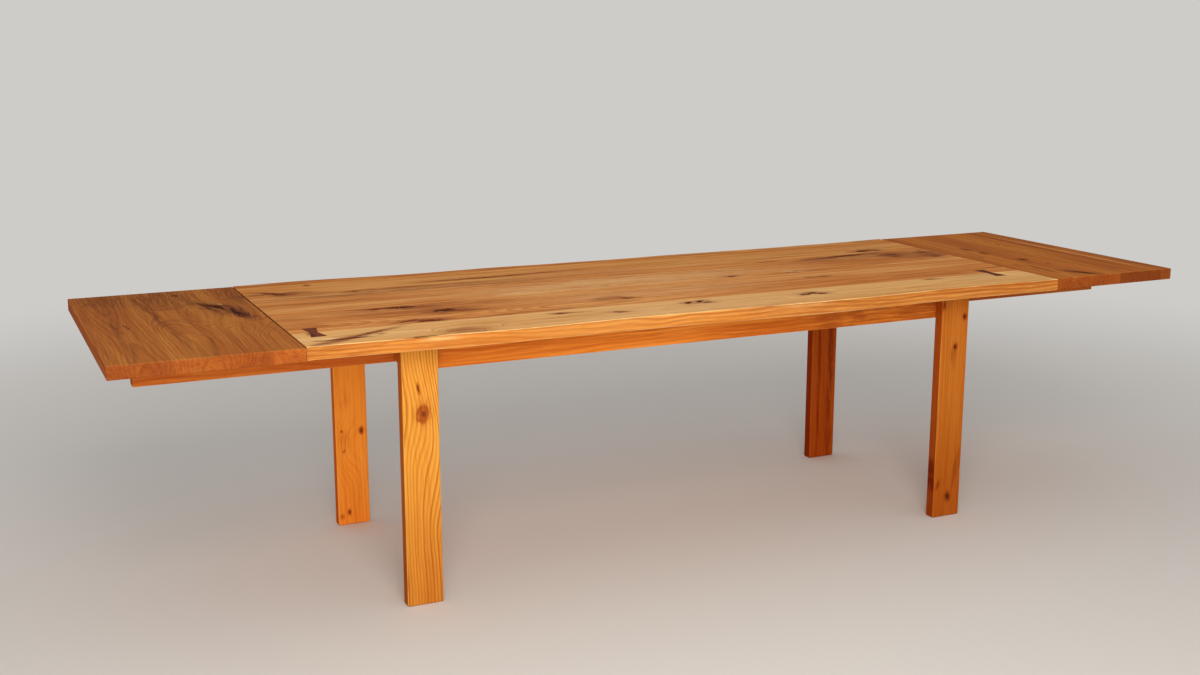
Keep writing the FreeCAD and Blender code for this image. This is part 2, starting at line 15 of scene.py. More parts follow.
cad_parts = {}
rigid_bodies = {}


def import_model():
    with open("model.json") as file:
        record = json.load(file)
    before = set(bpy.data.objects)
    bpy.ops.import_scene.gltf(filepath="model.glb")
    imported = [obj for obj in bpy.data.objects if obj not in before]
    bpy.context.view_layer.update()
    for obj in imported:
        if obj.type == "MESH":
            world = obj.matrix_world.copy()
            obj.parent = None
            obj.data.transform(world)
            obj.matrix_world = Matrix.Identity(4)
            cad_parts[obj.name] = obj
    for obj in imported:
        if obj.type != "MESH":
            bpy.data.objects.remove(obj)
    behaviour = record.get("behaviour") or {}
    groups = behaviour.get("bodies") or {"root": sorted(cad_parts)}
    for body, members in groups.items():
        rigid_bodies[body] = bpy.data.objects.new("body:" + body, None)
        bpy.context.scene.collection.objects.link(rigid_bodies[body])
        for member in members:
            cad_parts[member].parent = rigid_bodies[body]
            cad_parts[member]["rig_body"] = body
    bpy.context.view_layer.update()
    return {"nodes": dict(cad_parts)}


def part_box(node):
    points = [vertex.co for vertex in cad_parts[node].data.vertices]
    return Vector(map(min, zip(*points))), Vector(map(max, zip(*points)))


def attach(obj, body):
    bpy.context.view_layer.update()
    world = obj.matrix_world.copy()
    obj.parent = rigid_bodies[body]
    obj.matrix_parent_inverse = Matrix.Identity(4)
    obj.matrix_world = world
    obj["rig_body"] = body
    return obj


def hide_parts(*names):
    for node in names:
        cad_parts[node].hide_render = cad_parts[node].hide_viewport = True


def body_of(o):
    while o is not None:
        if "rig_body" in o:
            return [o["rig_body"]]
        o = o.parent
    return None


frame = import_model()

bl_info = {
    "name": "Draw Leaf Table",
    "version": (1, 0, 0),
    "blender": (4, 5, 0),
    "location": "View3D > Sidebar > Table",
    "description": "Finishes a plank table with two end leaves on pull-out bearers",
    "category": "Object",
}

NODES = frame["nodes"]
SIDES = ("left", "right")
FACES = ("front", "back")
IMAGE_WIDTH = 1200
FLOOR_HALF, FLOOR_BEND_SEGMENTS = 14.0, 24
# How far out the floor turns into the plain backdrop, and Light Path's rays that see it:
# camera, glossy and transmission.
BACKDROP_REACH = (1.8, 5.0)
SEEN_RAYS = (0, 3, 6)
LAMP_TARGET = (0.1, 0.0, 0.5)


def tone(red, green, blue):
    """A display colour, 0 to 255 a channel, as the linear colour that shaders and lamps take."""
    linear = []
    for channel in (red, green, blue):
        share = channel / 255
        linear.append(share / 12.92 if share <= 0.04045 else ((share + 0.055) / 1.055) ** 2.4)
    return tuple(linear)


# ------------------------------------------------------------------ settings

def colour_setting(label, description, default):
    """A colour that a user can change."""
    return FloatVectorProperty(name=label, description=description, subtype="COLOR", size=3,
                               min=0, max=1, default=default)


def place_setting(label, description, default):
    """A place in the table's frame that a user can change."""
    return FloatVectorProperty(name=label, description=description, subtype="TRANSLATION",
                               unit="LENGTH", size=3, default=default)


def share_setting(label, description, default):
    """A share from 0 to 1 that a user can change."""
    return FloatProperty(name=label, description=description, subtype="FACTOR", min=0, max=1,
                         default=default)


def length_setting(label, description, default):
    """A length that a user can change."""
    return FloatProperty(name=label, description=description, unit="LENGTH", min=0.001,
                         default=default)


WOOD_SETTINGS = (
    ("base", colour_setting, "Main colour of the wood"),
    ("pale", colour_setting, "Colour of the pale bands"),
    ("warm", colour_setting, "Colour of the warm bands"),
    ("line", colour_setting, "Colour of the growth lines"),
    # The edge colour is partly the narrow sides' own deeper colour, partly painted shade: darker
    # and redder than the faces, most on the legs' sides.
    ("edge", colour_setting, "Colour that the oil gives the narrow sides"),
    ("stain", colour_setting, "Colour of the wood round knots and cracks"),
    ("rings", length_setting, "Distance between growth lines"),
    ("lines", share_setting, "How plainly the growth lines show"),
    ("bands", share_setting, "How plainly the broad bands show"),
    ("edging", share_setting, "How far the edges take the edge colour"),
    ("roughness", share_setting, "Roughness of the oiled surface"),
)


def wood_settings(name, words, **defaults):
    """A PropertyGroup for one kind of wood on the table, with its colours and figure."""
    fields = {key: setting(key.capitalize(), description, defaults[key])
              for key, setting, description in WOOD_SETTINGS}
    return type(name, (bpy.types.PropertyGroup,), {"__annotations__": fields, "__doc__": words})


TopWood = wood_settings(
    "TopWood", "Heartwood of the fixed top",
    base=tone(228, 154, 84), pale=tone(244, 184, 114), warm=tone(200, 120, 54),
    line=tone(144, 78, 36), edge=tone(230, 152, 70), stain=tone(148, 82, 46), rings=0.0095,
    lines=0.42, bands=0.85, edging=0.9, roughness=0.44)
PaleWood = wood_settings(
    "PaleWood", "Sapwood of the front plank",
    base=tone(238, 184, 116), pale=tone(248, 202, 142), warm=tone(218, 152, 84),
    line=tone(176, 106, 50), edge=tone(216, 138, 60), stain=tone(156, 92, 56), rings=0.0095,
    lines=0.40, bands=0.75, edging=0.95, roughness=0.44)
LeafWood = wood_settings(
    "LeafWood", "Redder wood of the leaves",
    base=tone(190, 114, 50), pale=tone(208, 138, 62), warm=tone(166, 88, 38),
    line=tone(114, 57, 28), edge=tone(190, 98, 38), stain=tone(98, 48, 26), rings=0.0066,
    lines=0.40, bands=0.62, edging=0.85, roughness=0.44)
LegWood = wood_settings(
    "LegWood", "Bright wood of the legs",
    base=tone(236, 156, 62), pale=tone(250, 184, 92), warm=tone(216, 128, 42),
    line=tone(182, 90, 24), edge=tone(192, 94, 32), stain=tone(160, 66, 20), rings=0.0078,
    lines=0.74, bands=0.38, edging=0.85, roughness=0.42)
FrameWood = wood_settings(
    "FrameWood", "Wood of the aprons, rails and bearers",
    base=tone(240, 142, 52), pale=tone(250, 164, 74), warm=tone(214, 108, 34),
    line=tone(172, 76, 20), edge=tone(240, 142, 52), stain=tone(150, 66, 24), rings=0.012,
    lines=0.28, bands=0.70, edging=0.0, roughness=0.44)
DarkWood = wood_settings(
    "DarkWood", "Dark wood of the butterfly keys and stop pegs",
    base=tone(112, 58, 38), pale=tone(134, 74, 48), warm=tone(88, 42, 28),
    line=tone(62, 28, 20), edge=tone(100, 50, 34), stain=tone(50, 24, 18), rings=0.005,
    lines=0.50, bands=0.60, edging=0.3, roughness=0.42)
DowelWood = wood_settings(
    "DowelWood", "Pale turned wood of the dowels",
    base=tone(226, 190, 140), pale=tone(236, 204, 158), warm=tone(210, 168, 114),
    line=tone(184, 138, 88), edge=tone(226, 190, 140), stain=tone(170, 120, 74), rings=0.003,
    lines=0.40, bands=0.30, edging=0.0, roughness=0.55)


class SteelFinish(bpy.types.PropertyGroup):
    """Zinc-plated bolts and screws."""
    colour: colour_setting("Colour", "Colour of the plating", tone(196, 198, 200))


class StageSettings(bpy.types.PropertyGroup):
    """The camera, the lamps and the floor."""
    camera_place: place_setting("Camera", "Where the camera stands", (-1.965, -3.890, 1.521))
    camera_turn: FloatProperty(name="Turn", description="Camera's turn to the right of +Y",
                               subtype="ANGLE", default=0.4319)
    camera_tilt: FloatProperty(name="Tilt", description="Camera's tilt, down is negative",
                               subtype="ANGLE", default=-0.2128)
    focal_pixels: FloatProperty(name="Focal length", min=1, default=1458.2,
                                description="Focal length in pixels of the frame's width")
    floor_colour: colour_setting("Floor", "Colour of the floor", tone(222, 220, 217))
    backdrop_colour: colour_setting("Backdrop", "Colour of the backdrop", tone(206, 204, 201))
    key_place: place_setting("Main lamp", "Where the main lamp hangs", (-1.5, -3.7, 2.8))
    key_power: FloatProperty(name="Main power", description="Power of the main lamp",
                             unit="POWER", min=0, default=88)
    low_place: place_setting("Low lamp", "Where the low lamp stands", (-2.4, -4.7, 1.2))
    low_power: FloatProperty(name="Low power", description="Power of the low lamp",
                             unit="POWER", min=0, default=60)
    lamp_size: length_setting("Lamp size", "How wide the lamps are", 2.2)
    lamp_colour: colour_setting("Lamp colour", "Colour of the lamps", tone(255, 246, 234))
    fill_colour: colour_setting("Fill colour", "Colour of the light all round",
                                tone(252, 250, 248))
    fill_strength: FloatProperty(name="Fill", description="Strength of the light all round",
                                 min=0, default=0.55)


# ------------------------------------------------------------------ shader maths

class Value:
    """A number, vector or colour that varies over a surface; arithmetic adds Math nodes."""

    def __init__(self, finish, socket):
        self.finish, self.socket = finish, socket

    def __add__(self, other):
        return self.finish.math("ADD", self, other)

    def __sub__(self, other):
        return self.finish.math("SUBTRACT", self, other)

    def __rsub__(self, other):
        return self.finish.math("SUBTRACT", other, self)

    def __mul__(self, other):
        return self.finish.math("MULTIPLY", self, other)

    def __truediv__(self, other):
        return self.finish.math("DIVIDE", self, other)

    __rmul__ = __mul__

    def ramp(self, low, high, to_low=0.0, to_high=1.0):
        """A smooth step from to_low at low to to_high at high."""
        return self.finish.add("ShaderNodeMapRange", {"interpolation_type": "SMOOTHSTEP"},
                               self, low, high, to_low, to_high)


class Nodes:
    """A node tree, built from outputs wrapped as Values."""

    def __init__(self, tree):
        self.tree = tree

    def add(self, kind, settings, *values, output=0, **named):
        """A node with its settings, then its sockets in order or by name; returns an output."""
        node = self.tree.nodes.new(kind)
        for key, setting in settings.items():
            setattr(node, key, setting)
        for key, value in list(enumerate(values)) + list(named.items()):
            socket = node.inputs[key if isinstance(key, int) else key.replace("_", " ")]
            if isinstance(value, Value):
                self.tree.links.new(value.socket, socket)
            elif value is not None:
                socket.default_value = value
        return Value(self, node.outputs[output])

    def mix(self, share, first, second, blend="MIX"):
        """Two colours mixed by a share."""
        node = self.tree.nodes.new("ShaderNodeMix")
        node.data_type, node.blend_type, node.clamp_factor = "RGBA", blend, True
        for socket, value in ((node.inputs[0], share), (node.inputs[6], first),
                              (node.inputs[7], second)):
            if isinstance(value, Value):
                self.tree.links.new(value.socket, socket)
            else:
                socket.default_value = value if socket.type == "VALUE" else (*value, 1)
        return Value(self, node.outputs[2])

    def part(self, vector, axis):
        """One coordinate of a vector."""
        return self.add("ShaderNodeSeparateXYZ", {}, vector, output=axis)

    def math(self, operation, *values):
        """Numbers through one Math node."""
        return self.add("ShaderNodeMath", {"operation": operation}, *values)

    def vector(self, x, y, z):
        """A vector from three numbers."""
        return self.add("ShaderNodeCombineXYZ", {}, x, y, z)

    def noise(self, place, detail=2.0, roughness=0.5, colour=False):
        """Smooth noise about one unit in size, 0 to 1, or three of them as a colour."""
        return self.add("ShaderNodeTexNoise", {}, Vector=place, Scale=1.0, Detail=detail,
                        Roughness=roughness, output=1 if colour else 0)

    def stretched(self, axes, layer, shift):
        """Noise from a layer's waves along the grain and across it, its detail and roughness."""
        along, across, detail, roughness = layer
        scaled = [axis * waves + offset
                  for axis, waves, offset in zip(axes, (along, across, across), shift)]
        return self.noise(self.vector(*scaled), detail, roughness)

    def to_backdrop(self, share, shader, backdrop):
        """Shows rays that are seen a plain backdrop, by a share, in place of a shader's look."""
        seen = [self.add("ShaderNodeLightPath", {}, output=output) for output in SEEN_RAYS]
        seen = self.math("MAXIMUM", self.math("MAXIMUM", seen[0], seen[1]), seen[2])
        return self.add("ShaderNodeMixShader", {}, seen * share, Value(self, shader), backdrop)


class Finish(Nodes):
    """One material, with its shader."""

    def __init__(self, name):
        self.material = bpy.data.materials.new(name)
        self.material.use_nodes = True
        super().__init__(self.material.node_tree)
        self.shader = self.tree.nodes["Principled BSDF"]

    def set(self, socket, value):
        """Feed a shader socket with a Value, or set it to a plain number or colour."""
        target = self.shader.inputs[socket]
        if isinstance(value, Value):
            self.tree.links.new(value.socket, target)
        elif target.type == "RGBA":
            target.default_value = (*value, 1)
        else:
            target.default_value = value

    def relief(self, height, depth):
        """Bump from a height, 0 to 1, that is so many metres deep."""
        self.set("Normal", self.add("ShaderNodeBump", {}, Strength=1.0, Distance=depth,
                                    Height=height))


# ------------------------------------------------------------------ wood

# Which world axes run along a board's grain, across its face and through it.
GRAIN = {"X": (0, 1, 2), "Y": (1, 0, 2), "Z": (2, 0, 1)}
KNOT_COLOUR = tone(104, 52, 30)
CRACK_COLOUR = tone(58, 30, 20)
FLECK_COLOUR = tone(246, 206, 150)
FIBRE_RELIEF = 0.0003
# Layers of the figure: waves a metre along the grain and across it, detail and roughness.
SWAY, LIFT, RIPPLE = (0.8, 1.6, 2, 0.5), (0.6, 1.1, 2, 0.5), (4.5, 11.0, 3, 0.5)
ARCHES, PATCHY_WEAR_AND_HIGHLIGHT = (2.4, 5.0, 1.5, 0.5), (6.0, 20.0, 2, 0.5)
BROAD, NARROW = (0.7, 7.0, 2, 0.5), (1.1, 34.0, 3, 0.6)
SLIM, THIN = (1.8, 72.0, 2, 0.6), (2.6, 120.0, 2, 0.6)
FIBRES, FLECKS, STREAKS = (14.0, 620.0, 2, 0.6), (30.0, 900.0, 1, 0.5), (9.0, 170.0, 3, 0.65)
BAND_SHARES = (0.36, 0.30, 0.20, 0.14)  # broad, narrow, slim and thin bands
# From where to where, in their noise, bands, streaks, thin lines and flecks come in, and how
# strong they are.
WARM_BANDS, PALE_BANDS = (0.49, 0.58), (0.42, 0.50)
DARK_STREAKS, DARK_SHARE, PALE_STREAKS, PALE_SHARE = (0.52, 0.68), 0.26, (0.34, 0.47), 0.36
THIN_LINES, THIN_SHARE, DARK_FLECKS, FLECK_SHARE = (0.54, 0.72), 0.42, (0.62, 0.82), 0.25
# How far, in metres, the pith wanders and growth lines ripple and arch on narrow sides; how
# slowly the arches rise, and how far the bands follow the rings.
SWAY_REACH, LIFT_REACH, RIPPLE_REACH, ARCH_REACH = 0.10, 0.12, 0.010, 0.085
ARCH_RISE, BAND_DRIFT = 0.75, 0.35
# How ragged a mark is: waves a metre along and across it, and the nudge in its half sizes.
RAGGED_WAVES, RAGGED_NUDGE = (22.0, 60.0, 60.0), (0.5, 1.6, 0.0)
BARE_GLOSS, OIL_COAT, OIL_ROUGHNESS = 0.0, 0.07, 0.30
# A worn arris, partly wear and partly a painted highlight: its brightness against the pale
# bands, how far arrises are worn and highlit by the board's grain axis, and the share of that
# at the board's ends.
WORN_HIGHLIGHT, ARRIS_WEAR_AND_HIGHLIGHT, END_WEAR_AND_HIGHLIGHT = 1.25, {"X": 0.75, "Y": 0.30, "Z": 0.60}, 0.25
# Painted shade on the legs: how much darker they are by the floor, and from where to where up
# they clear.
FOOT_PAINTED_SHADE, FOOT_REACH = (0.80, 0.66, 0.58), (0.0, 0.42)
# How squarely a surface turns towards an axis to count as end grain, face and narrow side.
ENDWISE, FACEWISE, SIDEWISE = (0.55, 0.95), (0.35, 0.85), (0.60, 0.80)
SIDE_LINES = 0.90  # how far the growth lines on narrow sides darken a second time
EDGE_BRIGHTEST = 1.6  # the most that the edge colour brightens the base colour
# How far the end grain takes the colour of the growth lines, by the board's grain axis: its own
# darker colour, and for boards along X also painted shade, so that the top's ends, which face
# into the gaps by the leaves, read dark.
END_GRAIN_AND_GAP_SHADE = {"X": 0.75, "Y": 0.15, "Z": 0.5}
# The vertex layer of the share that is cut away, the carved mesh's cells and its distance from a
# board's arrises.
CUT_LAYER = "cut"
CELL_ALONG, CELL_ACROSS, PATCH_MARGIN = 0.0045, 0.0016, 0.006
KNOT_DEPTH, CRACK_DEPTH = 0.0008, 0.0035
KNOT_SHARE = 0.42  # how much of the cut colour a knot takes; a crack takes all
LONG_CRACK, SPRIG_HALF_WIDTH = 0.018, 0.0017
# The natural edges: how far in they are reshaped, and the depth of their hollows and waves.
EDGE_BAND, EDGE_STEP, HOLLOW_DEPTH, WAVE_DEPTH = 0.020, 0.012, 0.0024, 0.0010
EDGE_LEVELS = (0.2, 0.35, 0.5, 0.65, 0.8)
# The facet that leans back along a natural edge: how far in it reaches and its depth.
FACET_BAND, FACET_DEPTH = 0.035, 0.0085
# How far from a plank's ends the natural edge and its facet fade out.
EDGE_FADE, FACET_FADE = 0.02, 0.05
# Tolerances in a mesh: doubles, flat angles, a face's level and a cut, and its sharp angle.
DOUBLE, FLAT, LEVEL, ON_CUT, SHARP = 1e-5, 0.01, 1e-4, 1e-6, math.radians(32)


class Mark:
    """A knot, crack or streak on a board: its middle and half sizes in metres, on the face.

    place and half are (along the grain, across it); turn is in degrees on the face, and bend
    is how far the middle of a crack bows out. kind is knot (a brown heart with a halo), crack
    (thin and dark), sprig (a crack with no halo), swirl (the grain runs round it), whorl (the
    growth lines close round it), dark or pale (a patch of colour), ring (a dark oval), or side
    (a dark patch) or rim (a pale one) on the board's narrow sides.
    """

    def __init__(self, kind, along, across, half_along, half_across, turn=0.0, strength=1.0,
                 bend=0.0):
        self.kind, self.strength, self.bend = kind, strength, bend
        self.place, self.half, self.turn = (along, across), (half_along, half_across), turn

    def is_cut(self):
        """Whether the mark is cut into the surface."""
        return self.kind in ("knot", "crack", "sprig")

    def reach(self):
        """Half the size of the box round the mark, along the grain and across it."""
        cosine, sine = (abs(f(math.radians(self.turn))) for f in (math.cos, math.sin))
        long, wide = self.half[0] * 1.3, self.half[1] * 1.9 + abs(self.bend)
        return long * cosine + wide * sine, long * sine + wide * cosine

    def share(self, along, across):
        """How much of a point on the face the ragged mark takes, 0 to 1."""
        turn = math.radians(self.turn)
        dx, dy = along - self.place[0], across - self.place[1]
        x = dx * math.cos(turn) + dy * math.sin(turn)
        y = dy * math.cos(turn) - dx * math.sin(turn)
        part = x / self.half[0]
        y -= self.bend * (1 - part * part)
        seed = 9 * self.place[0] + 5 * self.place[1]
        y += 0.7 * self.half[1] * noise.noise(Vector((x * 45, seed, 0)))
        ragged = 1 + 0.45 * noise.noise(Vector((x * 120, seed, 4))) \
            + 0.3 * noise.noise(Vector((x * 90, y * 260, seed)))
        distance = math.hypot(part, y / self.half[1] / max(ragged, 0.45))
        return self.strength * min(max((1.15 - distance) / 0.5, 0), 1)

    def depth(self, along, across):
        """How deep the mark goes at a point."""
        share = self.share(along, across)
        if self.kind == "knot":
            return KNOT_DEPTH * share * (1 + 0.8 * noise.noise(
                Vector((along * 500, across * 700, 0))))
        return min(CRACK_DEPTH, 0.9 * self.half[1]) * share * share


def wood_finish(name, box, look, grain, seed, marks=(), pith=None, tint=(1, 1, 1), lined=1.0,
                ends=None):
    """A piece of wood: growth rings round a pith, bands, fibres and marks.

    box is the board's corners, pith the pith's place across and through the board from its
    middle, tint what sets this board's colour apart from its neighbours', lined how plainly
    its growth lines show, and ends how far its end grain darkens.
    """
    low, high = box
    chance = random.Random(seed)
    order = GRAIN[grain]
    middle, size = (low + high) / 2, high - low
    wide, thick = size[order[1]], size[order[2]]
    if pith is None:
        pith = (chance.uniform(-0.35, 0.35) * wide, -thick * chance.uniform(0.8, 2.2))
    shift = [[chance.uniform(0, 40) for _ in range(3)] for _ in range(8)]
    lean = chance.choice((-1, 1)) * chance.uniform(0.5, 0.9)

    wood = Finish(f"wood_{name}")
    place = wood.add("ShaderNodeTexCoord", {}, output=3)
    world = [wood.part(place, n) for n in order]
    along = world[0]
    across, through = world[1] - middle[order[1]], world[2] - middle[order[2]]
    axes = (along, across, through)

    ragged = wood.noise(wood.vector(*(axis * waves for axis, waves in zip(axes, RAGGED_WAVES))),
                        detail=3, colour=True)
    nudge = wood.add("ShaderNodeVectorMath", {"operation": "MULTIPLY"},
                     wood.add("ShaderNodeVectorMath", {"operation": "SUBTRACT"},
                              ragged, (0.5, 0.5, 0.5)), RAGGED_NUDGE)
    face = wood.vector(world[0], world[1], 0.0)
    distances = [(mark, distance_to(wood, mark, face, nudge)) for mark in marks
                 if mark.kind != "sprig"]

    normal = wood.add("ShaderNodeNewGeometry", {}, output=1)
    facing = [wood.math("ABSOLUTE", wood.part(normal, axis)) for axis in range(3)]
    end_grain = facing[order[0]].ramp(*ENDWISE)
    off_face = facing[order[2]].ramp(*FACEWISE, 1.0, 0.0)
    narrow_side = off_face * (1.0 - end_grain)
    side_on = facing[order[1]].ramp(*SIDEWISE)

    radius = ring_radius(wood, axes, pith, lean, shift, distances, side_on)
    late = late_wood(wood, radius / look.rings)

    # Bands follow the rings a little, so that they bend round the knots with the lines.
    banded = (along, across + radius * BAND_DRIFT, through)
    bands = [wood.stretched(banded, layer, shift[number]) for layer, number in
             ((BROAD, 4), (NARROW, 5), (SLIM, 0), (THIN, 6))]
    fibres = wood.stretched(axes, FIBRES, shift[1])
    flecks = wood.stretched(axes, FLECKS, shift[2])
    streaks = wood.stretched(banded, STREAKS, shift[7])

    colour = banded_colour(wood, look, bands, streaks)
    line, plainness = tuple(look.line), lined * look.lines
    plain = side_on.ramp(0, 1, plainness, min(plainness * 1.5, 1))
    colour = wood.mix(late * plain * end_grain.ramp(0, 1, 1, 0.8), colour, line)
    colour = wood.mix(late * side_on * (SIDE_LINES * plainness), colour, line)
    colour = wood.mix(bands[-1].ramp(*THIN_LINES) * (THIN_SHARE * look.bands), colour, line)
    colour = wood.mix(flecks.ramp(*DARK_FLECKS) * FLECK_SHARE, colour, line)
    height = fibres * 0.5 + late * 0.35
    rough = fibres.ramp(0.2, 0.8, look.roughness - 0.06, look.roughness + 0.08)

    for mark, distance in distances:
        shown = narrow_side if mark.kind in ("side", "rim") else 1.0 - off_face
        colour = laid_on(wood, mark, distance, colour, streaks, shown, look)
    cut = None
    if any(mark.is_cut() for mark in marks):
        cut = wood.add("ShaderNodeAttribute", {"attribute_name": CUT_LAYER}, output=2)
        colour = wood.mix(cut.ramp(0.0, 0.45) * 0.85, colour, KNOT_COLOUR)
        heart = wood.part(ragged, 0).ramp(0.35, 0.60, 0.35, 1.0)
        colour = wood.mix(cut.ramp(0.45, 0.85) * heart, colour, CRACK_COLOUR)

    # Narrow sides take the edge colour: partly their own deeper colour, partly painted shade that
    # makes them darker and redder than the faces.
    if look.edging:
        tinted = wood.mix(1.0, colour, edge_tint(look), "MULTIPLY")
        colour = wood.mix(off_face * look.edging, colour, tinted)
    # The arrises paler: partly wear, partly a painted highlight.
    arris = worn_and_highlit_arris(wood, axes, facing, grain, shift[6])
    if cut:
        arris = arris * cut.ramp(0.0, 0.03, 1.0, 0.0)
    colour = wood.mix(arris, colour, tuple(min(WORN_HIGHLIGHT * channel, 1) for channel in look.pale))
    # End grain darker: its own colour, and on the top's ends also painted shade in the gaps by
    # the leaves.
    colour = wood.mix(end_grain * (END_GRAIN_AND_GAP_SHADE[grain] if ends is None else ends), colour, line)
    # The board's tint: its own tone against its neighbours', and on the legs and bearers painted
    # light and shade.
    colour = wood.mix(1.0, colour, tint, "MULTIPLY")
    # Painted shade: the legs darker towards the floor.
    if grain == "Z":
        colour = wood.mix(along.ramp(*FOOT_REACH, 1.0, 0.0), colour, FOOT_PAINTED_SHADE, "MULTIPLY")
    grey = fibres.ramp(0.15, 0.85, 0.90, 1.08)
    wood.set("Base Color", wood.add("ShaderNodeVectorMath", {"operation": "SCALE"}, colour,
                                    Scale=grey))
    wood.set("Roughness", rough)
    wood.set("Specular IOR Level", BARE_GLOSS)
    wood.set("Coat Weight", OIL_COAT)
    wood.set("Coat Roughness", OIL_ROUGHNESS)
    wood.relief(height, FIBRE_RELIEF)
    return wood.material


def banded_colour(wood, look, bands, streaks):
    """The base colour with warm and pale bands, and dark and pale streaks over them."""
    total = bands[0] * BAND_SHARES[0]
    for band, share in zip(bands[1:], BAND_SHARES[1:]):
        total = total + band * share
    warm, pale, line = tuple(look.warm), tuple(look.pale), tuple(look.line)
    colour = wood.mix(total.ramp(*WARM_BANDS) * look.bands, tuple(look.base), warm)
    colour = wood.mix(total.ramp(*PALE_BANDS, 1.0, 0.0) * look.bands, colour, pale)
    colour = wood.mix(streaks.ramp(*DARK_STREAKS) * (DARK_SHARE * look.bands), colour, line)
    return wood.mix(streaks.ramp(*PALE_STREAKS, PALE_SHARE * look.bands, 0.0), colour, pale)


def ring_radius(wood, axes, pith, lean, shift, distances, side_on):
    """Distance from a pith that wanders along the board or from a whorl; arches on the sides."""
    across, through = axes[1:]
    sway, lift, ripple = (wood.stretched(axes, layer, moved) - 0.5
                          for layer, moved in zip((SWAY, LIFT, RIPPLE), shift))
    sideways = across - pith[0] + sway * SWAY_REACH
    upwards = through - pith[1] + lift * LIFT_REACH
    radius = wood.math("SQRT", sideways * sideways + upwards * upwards) + through * lean
    for mark, distance in distances:
        if mark.kind == "whorl":
            inside = distance.ramp(0.4, 1.6, mark.strength, 0.0)
            radius = radius + (distance * mark.half[1] - radius) * inside
        elif mark.kind in ("knot", "swirl"):
            bulge = mark.strength * (0.9 * mark.half[1] if mark.kind == "knot" else 0.05)
            radius = radius + bulge * distance.ramp(0.0, 2.6, 1.0, 0.0)
    radius = radius + ripple * RIPPLE_REACH
    arches = through + (wood.stretched(axes, ARCHES, shift[3]) - 0.5) * ARCH_REACH
    return radius + (arches * ARCH_RISE - radius) * side_on


def late_wood(wood, turns):
    """The dark part of each year's growth, some years bolder than others."""
    phase = wood.math("FRACT", turns)
    year = wood.math("FLOOR", turns)
    bold = wood.add("ShaderNodeTexWhiteNoise", {"noise_dimensions": "1D"}, W=year)
    late = phase.ramp(0.30, 0.84) * phase.ramp(0.90, 1.0, 1.0, 0.0)
    return late * bold.ramp(0.0, 1.0, 0.45, 1.0)


def worn_and_highlit_arris(wood, axes, facing, grain, shift):
    """How far arrises have worn, which face no axis squarely, less so at the board's ends."""
    steepest = wood.math("MAXIMUM", wood.math("MAXIMUM", facing[0], facing[1]), facing[2])
    return steepest.ramp(0.80, 0.985, ARRIS_WEAR_AND_HIGHLIGHT[grain], 0.0) \
        * facing[GRAIN[grain][0]].ramp(0.3, 0.6, 1.0, END_WEAR_AND_HIGHLIGHT) \
        * wood.stretched(axes, PATCHY_WEAR_AND_HIGHLIGHT, shift).ramp(0.38, 0.58, 0.15, 1.0)


def edge_tint(look):
    """What the narrow sides' colour is to the base colour, channel by channel."""
    return tuple(min(edge / base, EDGE_BRIGHTEST) for edge, base in zip(look.edge, look.base))


def distance_to(wood, mark, face, nudge):
    """A point's distance from a mark, in shares of the mark's half sizes."""
    local = wood.add("ShaderNodeMapping", {"vector_type": "TEXTURE"}, Vector=face,
                     Location=(*mark.place, 0), Rotation=(0, 0, math.radians(mark.turn)),
                     Scale=(*mark.half, 1))
    if mark.bend:
        x, y = wood.part(local, 0), wood.part(local, 1)
        local = wood.vector(x, y + (x * x - 1.0) * (mark.bend / mark.half[1]), 0.0)
    if mark.kind not in ("swirl", "whorl"):
        local = wood.add("ShaderNodeVectorMath", {"operation": "ADD"}, local, nudge)
    return wood.add("ShaderNodeVectorMath", {"operation": "LENGTH"}, local, output=1)


def laid_on(wood, mark, distance, colour, streaks, shown, look):
    """The wood's colour with one mark's stain over it."""
    strength, stain = mark.strength, tuple(look.stain)
    if mark.kind in ("knot", "crack"):
        halo = distance.ramp(0.8, 3.0, 0.9 * strength, 0.0) * streaks.ramp(0.38, 0.56, 0.20, 1.0)
        colour = wood.mix(halo * shown, colour, stain)
        if mark.kind == "knot":
            heart = distance.ramp(0.7, 1.1, 0.75 * strength, 0.0)
            rim = distance.ramp(1.15, 1.35) * distance.ramp(1.35, 1.65, 0.6 * strength, 0.0)
            colour = wood.mix((heart * streaks.ramp(0.3, 0.6, 0.5, 1.0) + rim) * shown, colour,
                              stain)
    elif mark.kind == "ring":
        ring = distance.ramp(0.55, 0.95, 0.35, 1.0) * distance.ramp(1.0, 1.45, strength, 0.0)
        colour = wood.mix(ring * shown, colour, stain)
    elif mark.kind in ("dark", "side"):
        patch = distance.ramp(0.3, 1.6, strength, 0.0) * streaks.ramp(0.38, 0.54, 0.22, 0.92)
        colour = wood.mix(patch * shown, colour, stain)
    elif mark.kind in ("pale", "rim"):
        patch = distance.ramp(0.1, 1.2, strength, 0.0) * streaks.ramp(0.36, 0.60, 0.2, 0.8)
        colour = wood.mix(patch * shown, colour, FLECK_COLOUR)
    return colour


def sprigs(marks, seed):
    """Short side cracks beside every long crack."""
    chance = random.Random(seed)
    grown = []
    for mark in marks:
        if mark.kind == "crack" and mark.half[0] > LONG_CRACK:
            for _ in range(3):
                aside = chance.choice((-1, 1)) * chance.uniform(1.0, 2.6) * mark.half[1]
                grown.append(Mark("sprig", mark.place[0] + chance.uniform(-1, 1) * mark.half[0],
                                  mark.place[1] + aside, mark.half[0] * chance.uniform(0.2, 0.45),
                                  SPRIG_HALF_WIDTH, mark.turn + chance.uniform(-28, 28), 0.8))
    return tuple(grown)


# ------------------------------------------------------------------ carving

